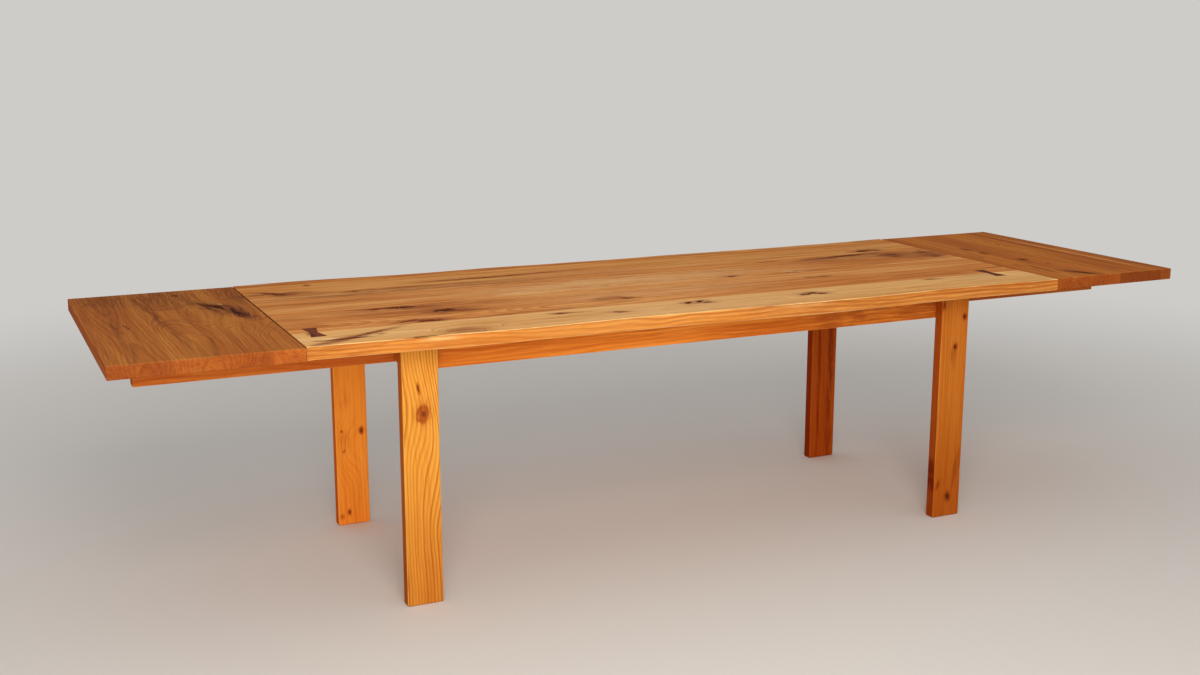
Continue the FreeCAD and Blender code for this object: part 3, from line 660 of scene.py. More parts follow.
def carved(node, grain, marks, outward=1, rough_side=0):
    """A copy of a board with its knots and cracks cut into the face on the outward side.

    rough_side is -1 or 1 where the board's front or back side is a natural edge.
    """
    along, across, through = GRAIN[grain]
    low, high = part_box(node)
    level = high[through] if outward > 0 else low[through]
    bm = bmesh.new()
    bm.from_mesh(NODES[node].data)
    bmesh.ops.remove_doubles(bm, verts=bm.verts, dist=DOUBLE)
    bmesh.ops.dissolve_limit(bm, angle_limit=FLAT, verts=bm.verts, edges=bm.edges)
    cut = bm.verts.layers.float.new(CUT_LAYER)

    def on_face(face):
        return abs(face.calc_center_median()[through] - level) < LEVEL

    cuts = [mark for mark in marks if mark.is_cut()]
    patches = merged([patch_round(mark, (low[along], high[along]), (low[across], high[across]))
                      for mark in cuts])
    for patch in patches:
        for axis, positions in ((along, patch[0::2]), (across, patch[1::2])):
            for position in positions:
                normal, point = Vector(), Vector()
                normal[axis], point[axis] = 1, position
                bisect(bm, [face for face in bm.faces if on_face(face)], point, normal)

    def in_patch(face):
        centre = face.calc_center_median()
        return any(patch[0] < centre[along] < patch[2] and patch[1] < centre[across] < patch[3]
                   for patch in patches)

    for axis, limit in ((along, CELL_ALONG), (across, CELL_ACROSS)):
        while True:
            long = {edge for face in bm.faces if on_face(face) and in_patch(face)
                    for edge in face.edges
                    if abs(edge.verts[0].co[axis] - edge.verts[1].co[axis]) > limit}
            if not long:
                break
            bmesh.ops.subdivide_edges(bm, edges=list(long), cuts=1, use_grid_fill=True)

    inside = {vert for face in bm.faces if on_face(face) and in_patch(face)
              for vert in face.verts}
    rim = {vert for face in bm.faces if not (on_face(face) and in_patch(face))
           for vert in face.verts}
    for vert in inside - rim:
        spot = vert.co[along], vert.co[across]
        vert[cut] = max(mark.share(*spot) * (KNOT_SHARE if mark.kind == "knot" else 1)
                        for mark in cuts)
        vert.co[through] -= outward * max(mark.depth(*spot) for mark in cuts)
    if rough_side:
        roughen(bm, node, rough_side)
    return piece_from(bm, f"{node}_carved", node)


def bisect(bm, faces, point, normal):
    """Cuts some faces along a plane."""
    edges = {edge for face in faces for edge in face.edges}
    verts = {vert for face in faces for vert in face.verts}
    bmesh.ops.bisect_plane(bm, geom=[*faces, *edges, *verts], plane_co=point, plane_no=normal,
                           dist=ON_CUT)


def patch_round(mark, along, across):
    """The box round a mark, kept inside the board's face: lowest corner, then highest."""
    reach = mark.reach()
    return [max(mark.place[0] - reach[0], along[0] + PATCH_MARGIN),
            max(mark.place[1] - reach[1], across[0] + PATCH_MARGIN),
            min(mark.place[0] + reach[0], along[1] - PATCH_MARGIN),
            min(mark.place[1] + reach[1], across[1] - PATCH_MARGIN)]


def merged(patches):
    """The patches, with those that overlap taken together."""
    apart = []
    for patch in patches:
        while True:
            touching = [other for other in apart if patch[0] < other[2] and other[0] < patch[2]
                        and patch[1] < other[3] and other[1] < patch[3]]
            if not touching:
                break
            for other in touching:
                apart.remove(other)
                patch = [min(patch[0], other[0]), min(patch[1], other[1]),
                         max(patch[2], other[2]), max(patch[3], other[3])]
        apart.append(patch)
    return apart


def roughen(bm, node, front_back):
    """Hollows and waves in a plank's natural edge, cut inwards from the CAD's line."""
    low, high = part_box(node)
    ends = min(abs(low.x), abs(high.x))

    def edge_faces():
        return [face for face in bm.faces if face.calc_center_median().y * front_back
                > max(abs(low.y), abs(high.y)) - EDGE_BAND and abs(face.normal.z) < 0.98
                and abs(face.normal.x) < 0.7]

    cuts = [((x * EDGE_STEP, 0, 0), (1, 0, 0))
            for x in range(int(-ends / EDGE_STEP), int(ends / EDGE_STEP) + 1)]
    cuts += [((0, 0, low.z + share * (high.z - low.z)), (0, 0, 1)) for share in EDGE_LEVELS]
    for point, normal in cuts:
        bisect(bm, edge_faces(), point, normal)
    for vert in {vert for face in edge_faces() for vert in face.verts}:
        x, height = vert.co.x, (vert.co.z - low.z) / (high.z - low.z)
        fade = min(max((ends - abs(x)) / EDGE_FADE, 0), 1)
        hollow = math.sin(math.pi * height) * (0.5 + 0.5 * noise.noise(
            Vector((x * 6, height * 1.5, 7))))
        waves = 0.5 + 0.5 * noise.noise(Vector((x * 26, height * 3, 3)))
        vert.co.y -= front_back * fade * (HOLLOW_DEPTH * hollow + WAVE_DEPTH * waves)
    lean_back(bm, low, high, ends, front_back, edge_faces())


def lean_back(bm, low, high, ends, front_back, faces):
    """Leans the upper half of a natural edge back by stretches, and the top face with it."""
    reach = {}
    for vert in {vert for face in faces for vert in face.verts}:
        step = round(vert.co.x / EDGE_STEP)
        reach[step] = max(reach.get(step, 0), vert.co.y * front_back)
    for vert in bm.verts:
        x, height = vert.co.x, (vert.co.z - low.z) / (high.z - low.z)
        inwards = reach.get(round(x / EDGE_STEP), math.inf) - vert.co.y * front_back
        if height <= 0.5 or inwards > FACET_BAND:
            continue
        rise = 2 * height - 1
        rise = rise * rise * (3 - 2 * rise)
        stretch = min(max(0.5 + 1.6 * noise.noise(Vector((x * 2.7, 11, front_back))), 0), 1)
        fade = min(max((ends - abs(x)) / FACET_FADE, 0), 1)
        vert.co.y -= front_back * FACET_DEPTH * fade * stretch * rise \
            * (1 - max(inwards, 0) / FACET_BAND)


def piece_from(bm, name, *nodes):
    """Makes a piece of a bmesh that stands for CAD nodes and rides with the first one."""
    mesh = bpy.data.meshes.new(name)
    bm.to_mesh(mesh)
    bm.free()
    mesh.shade_smooth()
    mesh.set_sharp_from_angle(angle=SHARP)
    piece = bpy.data.objects.new(name, mesh)
    bpy.context.scene.collection.objects.link(piece)
    piece.modifiers.new("flat_faces", "WEIGHTED_NORMAL").keep_sharp = True
    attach(piece, body_of(NODES[nodes[0]])[0])
    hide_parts(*nodes)
    return piece


def board(node, look, grain, seed, marks=(), slot="wood_frame", outward=1, rough_side=0,
          **figure):
    """Finishes one board, carved where it has knots or cracks."""
    marks = (*marks, *sprigs(marks, seed))
    material = wood_finish(node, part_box(node), look, grain, seed, marks, **figure)
    if any(mark.is_cut() for mark in marks):
        piece = carved(node, grain, marks, outward, rough_side)
        piece.data.materials.append(material)
    else:
        dress(node, material)


def dress(node, material):
    """Puts one material on a whole piece."""
    mesh = NODES[node].data
    mesh.materials.clear()
    mesh.materials.append(material)


# ------------------------------------------------------------------ turned and cast pieces

def turned(profile, segments, shape=None):
    """A closed solid round +Z from (radius, height) pairs.

    shape takes a ring's number in the profile and a vertex's number round it, and gives the
    share of the radius that the vertex keeps.
    """
    bm = bmesh.new()
    step = 2 * math.pi / segments
    verts = bmesh.ops.create_circle(bm, cap_ends=True, segments=segments, radius=1.0)["verts"]
    edges = bm.edges[:]
    for ring, (radius, height) in enumerate(profile):
        if ring:
            grown = bmesh.ops.extrude_edge_only(bm, edges=edges)["geom"]
            verts = [item for item in grown if isinstance(item, bmesh.types.BMVert)]
            edges = [item for item in grown if isinstance(item, bmesh.types.BMEdge)]
        for vert in verts:
            number = round(math.atan2(vert.co.y, vert.co.x) / step) % segments
            reach = radius * (shape(ring, number) if shape else 1)
            vert.co = (reach * math.cos(number * step), reach * math.sin(number * step), height)
    bmesh.ops.contextual_create(bm, geom=edges)
    bmesh.ops.recalc_face_normals(bm, faces=bm.faces)
    return bm


def hexagon(number):
    """A hexagon's reach towards a vertex of a ring of TURNED_SIDES, 1 at its corners."""
    angle = 360 / TURNED_SIDES * number % 60 - 30
    return math.cos(math.radians(30)) / math.cos(math.radians(angle))


def chamfered(radius, bottom, top, chamfer):
    """The profile of a rod from bottom to top with chamfered ends."""
    return [(radius - chamfer, bottom), (radius, bottom + chamfer), (radius, top - chamfer),
            (radius - chamfer, top)]


def thread(radius, bottom, top, pitch, depth):
    """The profile of a thread's crests and roots from bottom to top."""
    turns = int((top - bottom) / pitch)
    profile = []
    for turn in range(turns):
        profile += [(radius - depth, bottom + turn * pitch),
                    (radius, bottom + (turn + 0.5) * pitch)]
    return profile + [(radius - depth, bottom + turns * pitch), (0.5 * radius, top)]


def set_down(bm, node, name, matrix, material):
    """Puts a turned solid in its node's place and finishes it."""
    bmesh.ops.transform(bm, matrix=matrix, verts=bm.verts)
    piece = piece_from(bm, f"{node}_{name}", node)
    piece.data.materials.append(material)


def make_dowel(node, material):
    """A fluted dowel with chamfered ends, in place of the plain one."""
    low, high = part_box(node)
    middle, radius = (low + high) / 2, (high.z - low.z) / 2
    bm = turned(chamfered(radius, 0, high.x - low.x, DOWEL_CHAMFER), 2 * DOWEL_FLUTES,
                lambda _, number: 1 if number % 2 else 1 - DOWEL_FLUTE_DEPTH / radius)
    set_down(bm, node, "fluted", Matrix.Translation((low.x, middle.y, middle.z))
             @ Matrix.Rotation(math.pi / 2, 4, "Y"), material)


def make_peg(node, material):
    """A stop peg with chamfered ends, in place of the plain one."""
    low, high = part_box(node)
    middle = (low + high) / 2
    bm = turned(chamfered((high.x - low.x) / 2, 0, high.z - low.z, PEG_CHAMFER), 2 * TURNED_SIDES)
    set_down(bm, node, "chamfered", Matrix.Translation((middle.x, middle.y, low.z)),
             material)


def make_bolt(node, outwards, material):
    """A hexagon bolt with its washer and thread, in place of the plain one.

    outwards is -1 or 1, the way along Y from the head to the tip.
    """
    low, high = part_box(node)
    middle, length = (low + high) / 2, high.y - low.y
    neck = BOLT_HEAD_HEIGHT + WASHER_THICKNESS
    corner = BOLT_HEAD_WIDTH / math.sqrt(3)
    profile = [(0.47 * BOLT_HEAD_WIDTH, 0), (corner, BOLT_BEVEL), (corner, BOLT_HEAD_HEIGHT),
               *chamfered((high.x - low.x) / 2, BOLT_HEAD_HEIGHT, neck, WASHER_BEVEL),
               (BOLT_RADIUS, neck), (BOLT_RADIUS, length - BOLT_THREAD),
               *thread(BOLT_RADIUS, length - BOLT_THREAD, length, BOLT_PITCH,
                       BOLT_THREAD_DEPTH)]
    bm = turned(profile, TURNED_SIDES,
                lambda ring, number: hexagon(number) if ring in (1, 2) else 1)
    head = low.y if outwards > 0 else high.y
    set_down(bm, node, "hexagon", Matrix.Translation((middle.x, head, middle.z))
             @ Matrix.Rotation(-outwards * math.pi / 2, 4, "X"), material)


def make_screw(node, material):
    """A round-headed screw with a hexagon socket and a coarse thread, head down."""
    low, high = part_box(node)
    middle, length, head = (low + high) / 2, high.z - low.z, (high.x - low.x) / 2
    profile = [(SOCKET_RADIUS, SOCKET_DEPTH), (SOCKET_RADIUS, 0), (0.62 * head, 0),
               (0.86 * head, 0.22 * SCREW_HEAD), (head, 0.60 * SCREW_HEAD),
               (head, SCREW_HEAD), (SCREW_RADIUS, SCREW_HEAD),
               (SCREW_RADIUS, length - SCREW_THREAD),
               *thread(SCREW_RADIUS, length - SCREW_THREAD, length, SCREW_PITCH,
                       SCREW_THREAD_DEPTH)]
    bm = turned(profile, TURNED_SIDES, lambda ring, number: hexagon(number) if ring < 2 else 1)
    set_down(bm, node, "socketed", Matrix.Translation((middle.x, middle.y, low.z)),
             material)


# ------------------------------------------------------------------ the pieces' finishes

TURNED_SIDES, PEG_CHAMFER = 24, 0.0015
DOWEL_CHAMFER, DOWEL_FLUTES, DOWEL_FLUTE_DEPTH = 0.0012, 24, 0.00045
BOLT_HEAD_WIDTH, BOLT_HEAD_HEIGHT, BOLT_RADIUS, BOLT_BEVEL = 0.013, 0.0053, 0.004, 0.0009
BOLT_THREAD, BOLT_PITCH, BOLT_THREAD_DEPTH = 0.022, 0.00125, 0.0006
WASHER_THICKNESS, WASHER_BEVEL = 0.0016, 0.0003
SCREW_HEAD, SCREW_RADIUS, SOCKET_RADIUS, SOCKET_DEPTH = 0.004, 0.003, 0.0023, 0.0022
SCREW_THREAD, SCREW_PITCH, SCREW_THREAD_DEPTH = 0.040, 0.0026, 0.0007
# The zinc's mottling and dull patches, in waves a metre.
MOTTLE_WAVES, DULL_WAVES, MOTTLE_RELIEF, DULL_ZINC = 900.0, 160.0, 0.00005, tone(150, 150, 148)

# What each board takes: its marks, its tint (its own tone against its neighbours', and on the
# legs painted light and shade), how far its end grain darkens (ends), how plainly its lines
# show (lined), the pith's place across and through it, and which side is natural.
# The planks of the fixed top, from the front; their marks go by x, then y.
TOP_PLANKS = {
    1: dict(tint=(1.02, 1.01, 0.98), rough_side=-1, marks=(
        Mark("crack", -1.074, -0.410, 0.056, 0.0086, 28, 0.9, 0.003),
        Mark("crack", -0.985, -0.359, 0.049, 0.0049, 28, 0.7),
        Mark("dark", -1.050, -0.396, 0.130, 0.0170, 28, 1.0),
        Mark("dark", -0.935, -0.333, 0.070, 0.0110, 27, 0.9),
        Mark("knot", -0.955, -0.374, 0.009, 0.0050, 0, 0.7),
        Mark("knot", -0.744, -0.428, 0.033, 0.0175, -20, 0.55),
        Mark("sprig", -0.752, -0.430, 0.016, 0.0022, 30, 0.7),
        Mark("sprig", -0.690, -0.402, 0.012, 0.0022, 50, 0.6),
        Mark("dark", -0.728, -0.412, 0.075, 0.0420, 10, 0.45),
        Mark("whorl", -0.735, -0.415, 0.095, 0.0520),
        Mark("crack", -0.438, -0.322, 0.018, 0.0078, -10),
        Mark("dark", -0.410, -0.326, 0.070, 0.0090, -6, 0.6),
        Mark("crack", -0.281, -0.368, 0.020, 0.0070, -18),
        Mark("crack", -0.051, -0.331, 0.015, 0.0096, 9),
        Mark("crack", -0.012, -0.326, 0.017, 0.0086, 20),
        Mark("knot", 0.002, -0.346, 0.018, 0.0094, -10),
        Mark("dark", -0.020, -0.336, 0.050, 0.0200, 0, 0.6),
        Mark("crack", 0.317, -0.358, 0.018, 0.0086, 10),
        Mark("crack", 0.346, -0.346, 0.016, 0.0096, 30),
        Mark("crack", 0.366, -0.362, 0.022, 0.0086, -30),
        Mark("pale", 0.404, -0.332, 0.060, 0.0140, -10),
        Mark("dark", 0.350, -0.352, 0.060, 0.0180, 0, 0.5),
        Mark("crack", 0.811, -0.303, 0.018, 0.0052, -8),
        Mark("dark", 0.140, -0.466, 0.030, 0.0080, 0, 0.8),
        Mark("pale", -0.050, -0.400, 0.620, 0.0900, 0, 0.8),
        Mark("rim", -0.420, -0.465, 0.260, 0.5000, 0, 0.6),
        Mark("side", -1.120, -0.465, 0.120, 0.5000, 0, 0.40),
        Mark("side", 0.320, -0.465, 0.220, 0.5000, 0, 0.35),
        Mark("side", 1.000, -0.465, 0.400, 0.5000, 0, 0.25))),
    2: dict(tint=(0.98, 0.92, 0.88), marks=(
        Mark("crack", -0.882, -0.052, 0.020, 0.0077, -10, 0.7),
        Mark("crack", -0.808, -0.057, 0.043, 0.0130, -8),
        Mark("dark", -0.835, -0.058, 0.110, 0.0150, -6, 0.9),
        Mark("crack", -0.712, -0.143, 0.034, 0.0130, 8),
        Mark("knot", -0.690, -0.150, 0.018, 0.0100, 0, 0.9),
        Mark("dark", -0.665, -0.165, 0.080, 0.0180, -14),
        Mark("crack", -0.790, -0.267, 0.031, 0.0108, -5),
        Mark("crack", -0.845, -0.250, 0.034, 0.0062, 22, 0.6),
        Mark("dark", -0.800, -0.254, 0.100, 0.0180, 4, 0.8),
        Mark("swirl", -0.740, -0.180, 0.160, 0.0900),
        Mark("dark", -1.126, -0.100, 0.055, 0.0300, 0, 0.5),
        Mark("dark", -1.120, -0.190, 0.060, 0.0260, 0, 0.5),
        Mark("dark", -0.800, -0.020, 0.260, 0.0800, 0, 0.60),
        Mark("dark", -0.760, -0.110, 0.220, 0.0700, 4, 0.45),
        Mark("dark", -0.700, -0.160, 0.080, 0.0400, 0, 0.7),
        Mark("pale", -0.050, -0.140, 0.550, 0.1000, 0, 0.6),
        Mark("dark", -0.224, -0.178, 0.060, 0.0260, 0, 0.8),
        Mark("crack", -0.175, -0.193, 0.022, 0.0077, -8),
        Mark("dark", -0.480, -0.268, 0.220, 0.0080, 2, 0.8),
        Mark("crack", 0.520, -0.120, 0.056, 0.0054, 2, 0.5))),
    3: dict(tint=(0.97, 0.93, 0.90), marks=(
        Mark("knot", 0.276, -0.003, 0.015, 0.0094),
        Mark("dark", 0.262, 0.002, 0.060, 0.0180, 0, 0.7),
        Mark("pale", 0.215, -0.004, 0.070, 0.0110),
        Mark("pale", 0.300, -0.020, 0.050, 0.0070),
        Mark("swirl", 0.270, 0.000, 0.110, 0.0500),
        Mark("crack", 0.494, -0.018, 0.029, 0.0048, -10, 0.6),
        Mark("pale", 0.500, -0.010, 0.070, 0.0100, -8),
        Mark("pale", -0.425, 0.000, 0.090, 0.0260, -6, 0.8),
        Mark("dark", 0.520, 0.190, 0.050, 0.0090),
        Mark("crack", 0.820, 0.190, 0.090, 0.0087, 6, 0.9),
        Mark("dark", 0.790, 0.184, 0.150, 0.0120, 7),
        Mark("dark", 0.700, 0.150, 0.060, 0.0180, 0, 0.6),
        Mark("knot", 0.990, 0.150, 0.022, 0.0137, -20, 0.8),
        Mark("knot", 0.978, 0.112, 0.015, 0.0100, 0, 0.6),
        Mark("dark", 0.985, 0.140, 0.080, 0.0360),
        Mark("knot", 1.115, 0.150, 0.029, 0.0112, 0, 0.9),
        Mark("knot", 1.104, 0.062, 0.015, 0.0100, 0, 0.8),
        Mark("dark", 1.108, 0.105, 0.050, 0.0500),
        Mark("swirl", 1.040, 0.120, 0.160, 0.0800),
        Mark("dark", -0.960, 0.100, 0.180, 0.0120, 2, 0.6),
        Mark("dark", -0.750, 0.195, 0.460, 0.0260, 1, 0.75),
        Mark("dark", 0.850, 0.170, 0.230, 0.0500, 4, 0.6),
        Mark("dark", 1.060, 0.110, 0.110, 0.0700, 0, 0.6),
        Mark("pale", -0.080, 0.060, 0.700, 0.1000, 0, 0.8))),
    4: dict(tint=(0.94, 0.88, 0.78), rough_side=1, marks=(
        Mark("crack", -1.090, 0.300, 0.029, 0.0108, -34, 0.8),
        Mark("knot", -1.068, 0.270, 0.024, 0.0112, -14),
        Mark("dark", -1.074, 0.284, 0.100, 0.0300, -6),
        Mark("knot", -0.856, 0.235, 0.008, 0.0050),
        Mark("knot", -0.960, 0.392, 0.007, 0.0063),
        Mark("dark", -0.440, 0.302, 0.250, 0.0110, 0),
        Mark("dark", -0.250, 0.312, 0.200, 0.0070, 2, 0.9),
        Mark("crack", -0.400, 0.300, 0.123, 0.0043, 1, 0.5),
        Mark("crack", 0.944, 0.256, 0.027, 0.0130, 6, 0.9),
        Mark("knot", 0.995, 0.246, 0.013, 0.0100, 0, 0.7),
        Mark("dark", 0.960, 0.254, 0.070, 0.0260, 0, 0.8),
        Mark("dark", -0.720, 0.236, 0.420, 0.0220, 0, 0.75),
        Mark("pale", 0.000, 0.240, 0.600, 0.0600, 0, 0.4))),
}
# The leaves' planks, from the outer end; their marks go by y, then x.
LEAF_PLANKS = {
    ("left", 1): dict(tint=(0.90, 0.86, 0.90), ends=0.42, marks=(
        Mark("dark", 0.380, -1.540, 0.110, 0.0700, 0, 0.5),
        Mark("dark", 0.000, -1.560, 0.440, 0.0090, 0, 0.45),
        Mark("crack", -0.023, -1.533, 0.024, 0.0022, 0, 0.4))),
    ("left", 2): dict(tint=(0.94, 0.92, 0.94), ends=0.32, marks=(
        Mark("crack", 0.184, -1.274, 0.038, 0.0101, -37),
        Mark("crack", 0.150, -1.262, 0.034, 0.0087, -25),
        Mark("dark", 0.140, -1.276, 0.110, 0.0300, -14),
        Mark("pale", 0.205, -1.258, 0.030, 0.0050, -30),
        Mark("whorl", 0.090, -1.262, 0.240, 0.1400),
        Mark("dark", 0.350, -1.390, 0.160, 0.0900, 0, 0.6),
        Mark("knot", 0.380, -1.346, 0.010, 0.0050),
        Mark("dark", 0.000, -1.440, 0.440, 0.0120, -3, 0.5))),
    ("left", 3): dict(tint=(0.96, 0.98, 1.04), ends=0.02, marks=(
        Mark("crack", 0.104, -1.240, 0.040, 0.0084, -10),
        Mark("crack", 0.053, -1.232, 0.045, 0.0096, -12),
        Mark("crack", 0.004, -1.233, 0.013, 0.0058, -40, 0.8),
        Mark("dark", 0.070, -1.224, 0.120, 0.0240, -8),
        Mark("whorl", 0.100, -1.262, 0.240, 0.1400),
        Mark("dark", 0.330, -1.200, 0.150, 0.0500, 0, 0.5),
        # A dark line along the plank's inner edge by the gap to the top: partly dirt, partly
        # painted shade.
        Mark("dark", 0.000, -1.169, 0.600, 0.0036, 0, 0.9))),
    ("right", 1): dict(tint=(1.00, 0.98, 0.96), ends=0.45, marks=(
        Mark("dark", 0.000, 1.612, 0.440, 0.0060, 0, 0.25),)),
    ("right", 2): dict(tint=(1.08, 0.98, 0.84), ends=0.74, marks=(
        Mark("knot", 0.180, 1.470, 0.009, 0.0050, 0, 0.7),
        Mark("dark", 0.050, 1.540, 0.430, 0.0110, 2, 0.45),
        Mark("pale", -0.050, 1.570, 0.430, 0.0080, 0, 0.8))),
    ("right", 3): dict(tint=(1.06, 0.96, 0.86), ends=0.44, marks=(
        Mark("dark", -0.392, 1.316, 0.070, 0.0180, -28),
        Mark("crack", -0.404, 1.325, 0.031, 0.0087, -30, 0.7),
        Mark("dark", -0.300, 1.250, 0.090, 0.0100, 6, 0.7),
        Mark("knot", 0.041, 1.290, 0.013, 0.0075, 0, 0.8),
        Mark("knot", -0.122, 1.321, 0.013, 0.0081, 0, 0.9),
        Mark("knot", -0.217, 1.343, 0.004, 0.0037),
        Mark("dark", 0.128, 1.285, 0.030, 0.0140, 0, 0.8),
        Mark("swirl", -0.122, 1.321, 0.120, 0.0500, 0, 0.8),
        # A dark line along the plank's inner edge by the gap to the top: partly dirt, partly
        # painted shade.
        Mark("dark", 0.000, 1.169, 0.600, 0.0036, 0, 0.7))),
}
# The legs; their marks go by z, then x. Their tints are painted light and shade: the back left
# leg lighter, the right legs darker and redder, the back right one darkest.
LEGS = {
    ("front", "left"): dict(pith=(0.130, 0.060), lined=1.0, tint=(0.95, 1.04, 1.02), marks=(
        Mark("knot", 0.526, -0.849, 0.010, 0.0065, 0, 0.8),
        Mark("ring", 0.526, -0.849, 0.021, 0.0150, 0, 0.75),
        Mark("swirl", 0.526, -0.849, 0.070, 0.0330, 0, 0.45),
        Mark("swirl", 0.390, -0.800, 0.085, 0.0330, 0, 0.55),
        Mark("dark", 0.530, -0.848, 0.036, 0.0240, 0, 0.6),
        Mark("knot", 0.596, -0.861, 0.010, 0.0022, -12, 0.9))),
    ("front", "right"): dict(pith=(-0.110, 0.070), lined=0.35, tint=(0.66, 0.47, 0.33), marks=(
        Mark("knot", 0.638, 0.889, 0.006, 0.0045),
        Mark("knot", 0.547, 0.859, 0.006, 0.0045),
        Mark("dark", 0.520, 0.855, 0.040, 0.0100, 0, 0.6),
        Mark("knot", 0.064, 0.858, 0.010, 0.0070, 0, 0.9),
        Mark("swirl", 0.064, 0.858, 0.060, 0.0300, 0, 0.4),
        Mark("knot", 0.679, 0.811, 0.009, 0.0030),
        Mark("side", 0.110, 0.805, 0.022, 0.0110),
        Mark("side", 0.161, 0.805, 0.026, 0.0060),
        Mark("dark", 0.105, 0.818, 0.018, 0.0070, 20, 0.8),
        Mark("dark", 0.155, 0.885, 0.060, 0.0090, 8, 0.7))),
    ("back", "left"): dict(pith=(-0.060, 0.070), lined=0.30, tint=(1.36, 1.18, 0.92), marks=(
        Mark("knot", 0.297, -0.824, 0.007, 0.0045),
        Mark("knot", 0.300, -0.886, 0.003, 0.0022, 0, 0.7),
        Mark("dark", 0.400, -0.880, 0.030, 0.0200, 0, 0.3),
        Mark("knot", 0.236, -0.880, 0.004, 0.0024, 30, 0.7),
        Mark("swirl", 0.240, -0.872, 0.050, 0.0250, 0, 0.5),
        Mark("dark", 0.270, -0.878, 0.034, 0.0200, 0, 0.3),
        Mark("knot", 0.040, -0.870, 0.006, 0.0040, 0, 0.8),
        Mark("dark", 0.027, -0.893, 0.010, 0.0060))),
    ("back", "right"): dict(pith=(0.150, 0.050), lined=0.55, tint=(0.58, 0.27, 0.14), marks=(
        Mark("dark", 0.400, 0.880, 0.500, 0.0110, 0, 0.8),
        Mark("dark", 0.350, 0.835, 0.500, 0.0060, 0, 0.7))),
}
# Painted shade on the bearers under the leaves: the right ones much darker, the left ones a
# little darker.
BEARER_PAINTED_SHADE = {"left": (0.82, 0.74, 0.90), "right": (0.62, 0.50, 0.56)}
# The front apron's marks are on its narrow sides, where only x counts.
APRON_MARKS = {
    "front": (
        Mark("side", 0.420, -0.336, 0.040, 0.0500, 0, 0.5),
        Mark("side", 0.520, -0.336, 0.030, 0.0500, 0, 0.4),
        Mark("side", 0.900, -0.336, 0.600, 0.5000, 0, 0.6)),
    "back": (),
}


class TABLE_OT_top(bpy.types.Operator):
    """Finish the four planks of the fixed top"""
    bl_idname = "table.top"
    bl_label = "Top planks"

    def execute(self, context):
        scene = context.scene
        for number, plank in TOP_PLANKS.items():
            pale = number == 1
            board(f"main_plank_{number}", scene.table_pale_wood if pale else scene.table_top_wood,
                  "X", 100 + number, slot="wood_pale" if pale else "wood_top", **plank)
        return {"FINISHED"}


class TABLE_OT_keys(bpy.types.Operator):
    """Finish the butterfly keys"""
    bl_idname = "table.keys"
    bl_label = "Butterfly keys"

    def execute(self, context):
        for seed, side in enumerate(SIDES, start=200):
            board(f"key_{side}", context.scene.table_dark_wood, "Y", seed)
        return {"FINISHED"}


class TABLE_OT_leaves(bpy.types.Operator):
    """Finish both leaves and their dowels"""
    bl_idname = "table.leaves"
    bl_label = "Leaves"

    def execute(self, context):
        scene = context.scene
        for seed, ((side, number), plank) in enumerate(LEAF_PLANKS.items(), start=300):
            board(f"leaf_{side}_plank_{number}", scene.table_leaf_wood, "Y", seed,
                  slot="wood_leaf", **plank)
        for seed, side in enumerate(SIDES, start=320):
            for number in (1, 2, 3):
                node = f"dowel_{side}_{number}"
                make_dowel(node, wood_finish(node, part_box(node), scene.table_dowel_wood, "X",
                                             10 * seed + number))
        return {"FINISHED"}


class TABLE_OT_legs(bpy.types.Operator):
    """Finish the four legs"""
    bl_idname = "table.legs"
    bl_label = "Legs"

    def execute(self, context):
        for seed, ((face, side), leg) in enumerate(LEGS.items(), start=400):
            board(f"leg_{face}_{side}", context.scene.table_leg_wood, "Z", seed, outward=-1,
                  **leg)
        return {"FINISHED"}


class TABLE_OT_frame(bpy.types.Operator):
    """Finish the aprons and the cross rails"""
    bl_idname = "table.frame"
    bl_label = "Aprons and rails"

    def execute(self, context):
        look = context.scene.table_frame_wood
        for seed, face in enumerate(FACES, start=500):
            board(f"apron_{face}", look, "X", seed, APRON_MARKS[face])
        for seed, kind in enumerate(("end", "guide"), start=510):
            for number, side in enumerate(SIDES):
                board(f"{kind}_rail_{side}", look, "Y", 2 * seed + number)
        return {"FINISHED"}


class TABLE_OT_bearers(bpy.types.Operator):
    """Finish the pull-out bearers and their stop pegs"""
    bl_idname = "table.bearers"
    bl_label = "Bearers"

    def execute(self, context):
        scene = context.scene
        for seed, side in enumerate(SIDES, start=600):
            for number, face in enumerate(FACES):
                board(f"bearer_{side}_{face}", scene.table_frame_wood, "X", 10 * seed + number,
                      tint=BEARER_PAINTED_SHADE[side])
                peg = f"stop_peg_{side}_{face}"
                make_peg(peg, wood_finish(peg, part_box(peg), scene.table_dark_wood, "Z",
                                          10 * seed + 5 + number))
        return {"FINISHED"}


class TABLE_OT_fasteners(bpy.types.Operator):
    """Finish the leg bolts and the top screws"""
    bl_idname = "table.fasteners"
    bl_label = "Bolts and screws"

    def execute(self, context):
        material = steel_finish(context.scene.table_steel)
        for node in list(NODES):
            if node.startswith("leg_bolt"):
                make_bolt(node, -1 if "front" in node else 1, material)
            elif node.startswith("top_screw"):
                make_screw(node, material)
        return {"FINISHED"}


def steel_finish(settings):
    """Zinc plating, mottled and dull in places."""
    steel = Finish("zinc_plated_steel")
    place = steel.add("ShaderNodeTexCoord", {}, output=3)
    mottle, dull = (
        steel.noise(steel.add("ShaderNodeVectorMath", {"operation": "SCALE"}, place, Scale=waves),
                    detail=detail) for waves, detail in ((MOTTLE_WAVES, 3), (DULL_WAVES, 2)))
    steel.set("Base Color", steel.mix(dull.ramp(0.3, 0.7) * 0.5, tuple(settings.colour),
                                      DULL_ZINC))
    steel.set("Metallic", 1.0)
    steel.set("Roughness", mottle.ramp(0.3, 0.7, 0.30, 0.48))
    steel.relief(mottle, MOTTLE_RELIEF)
    return steel.material


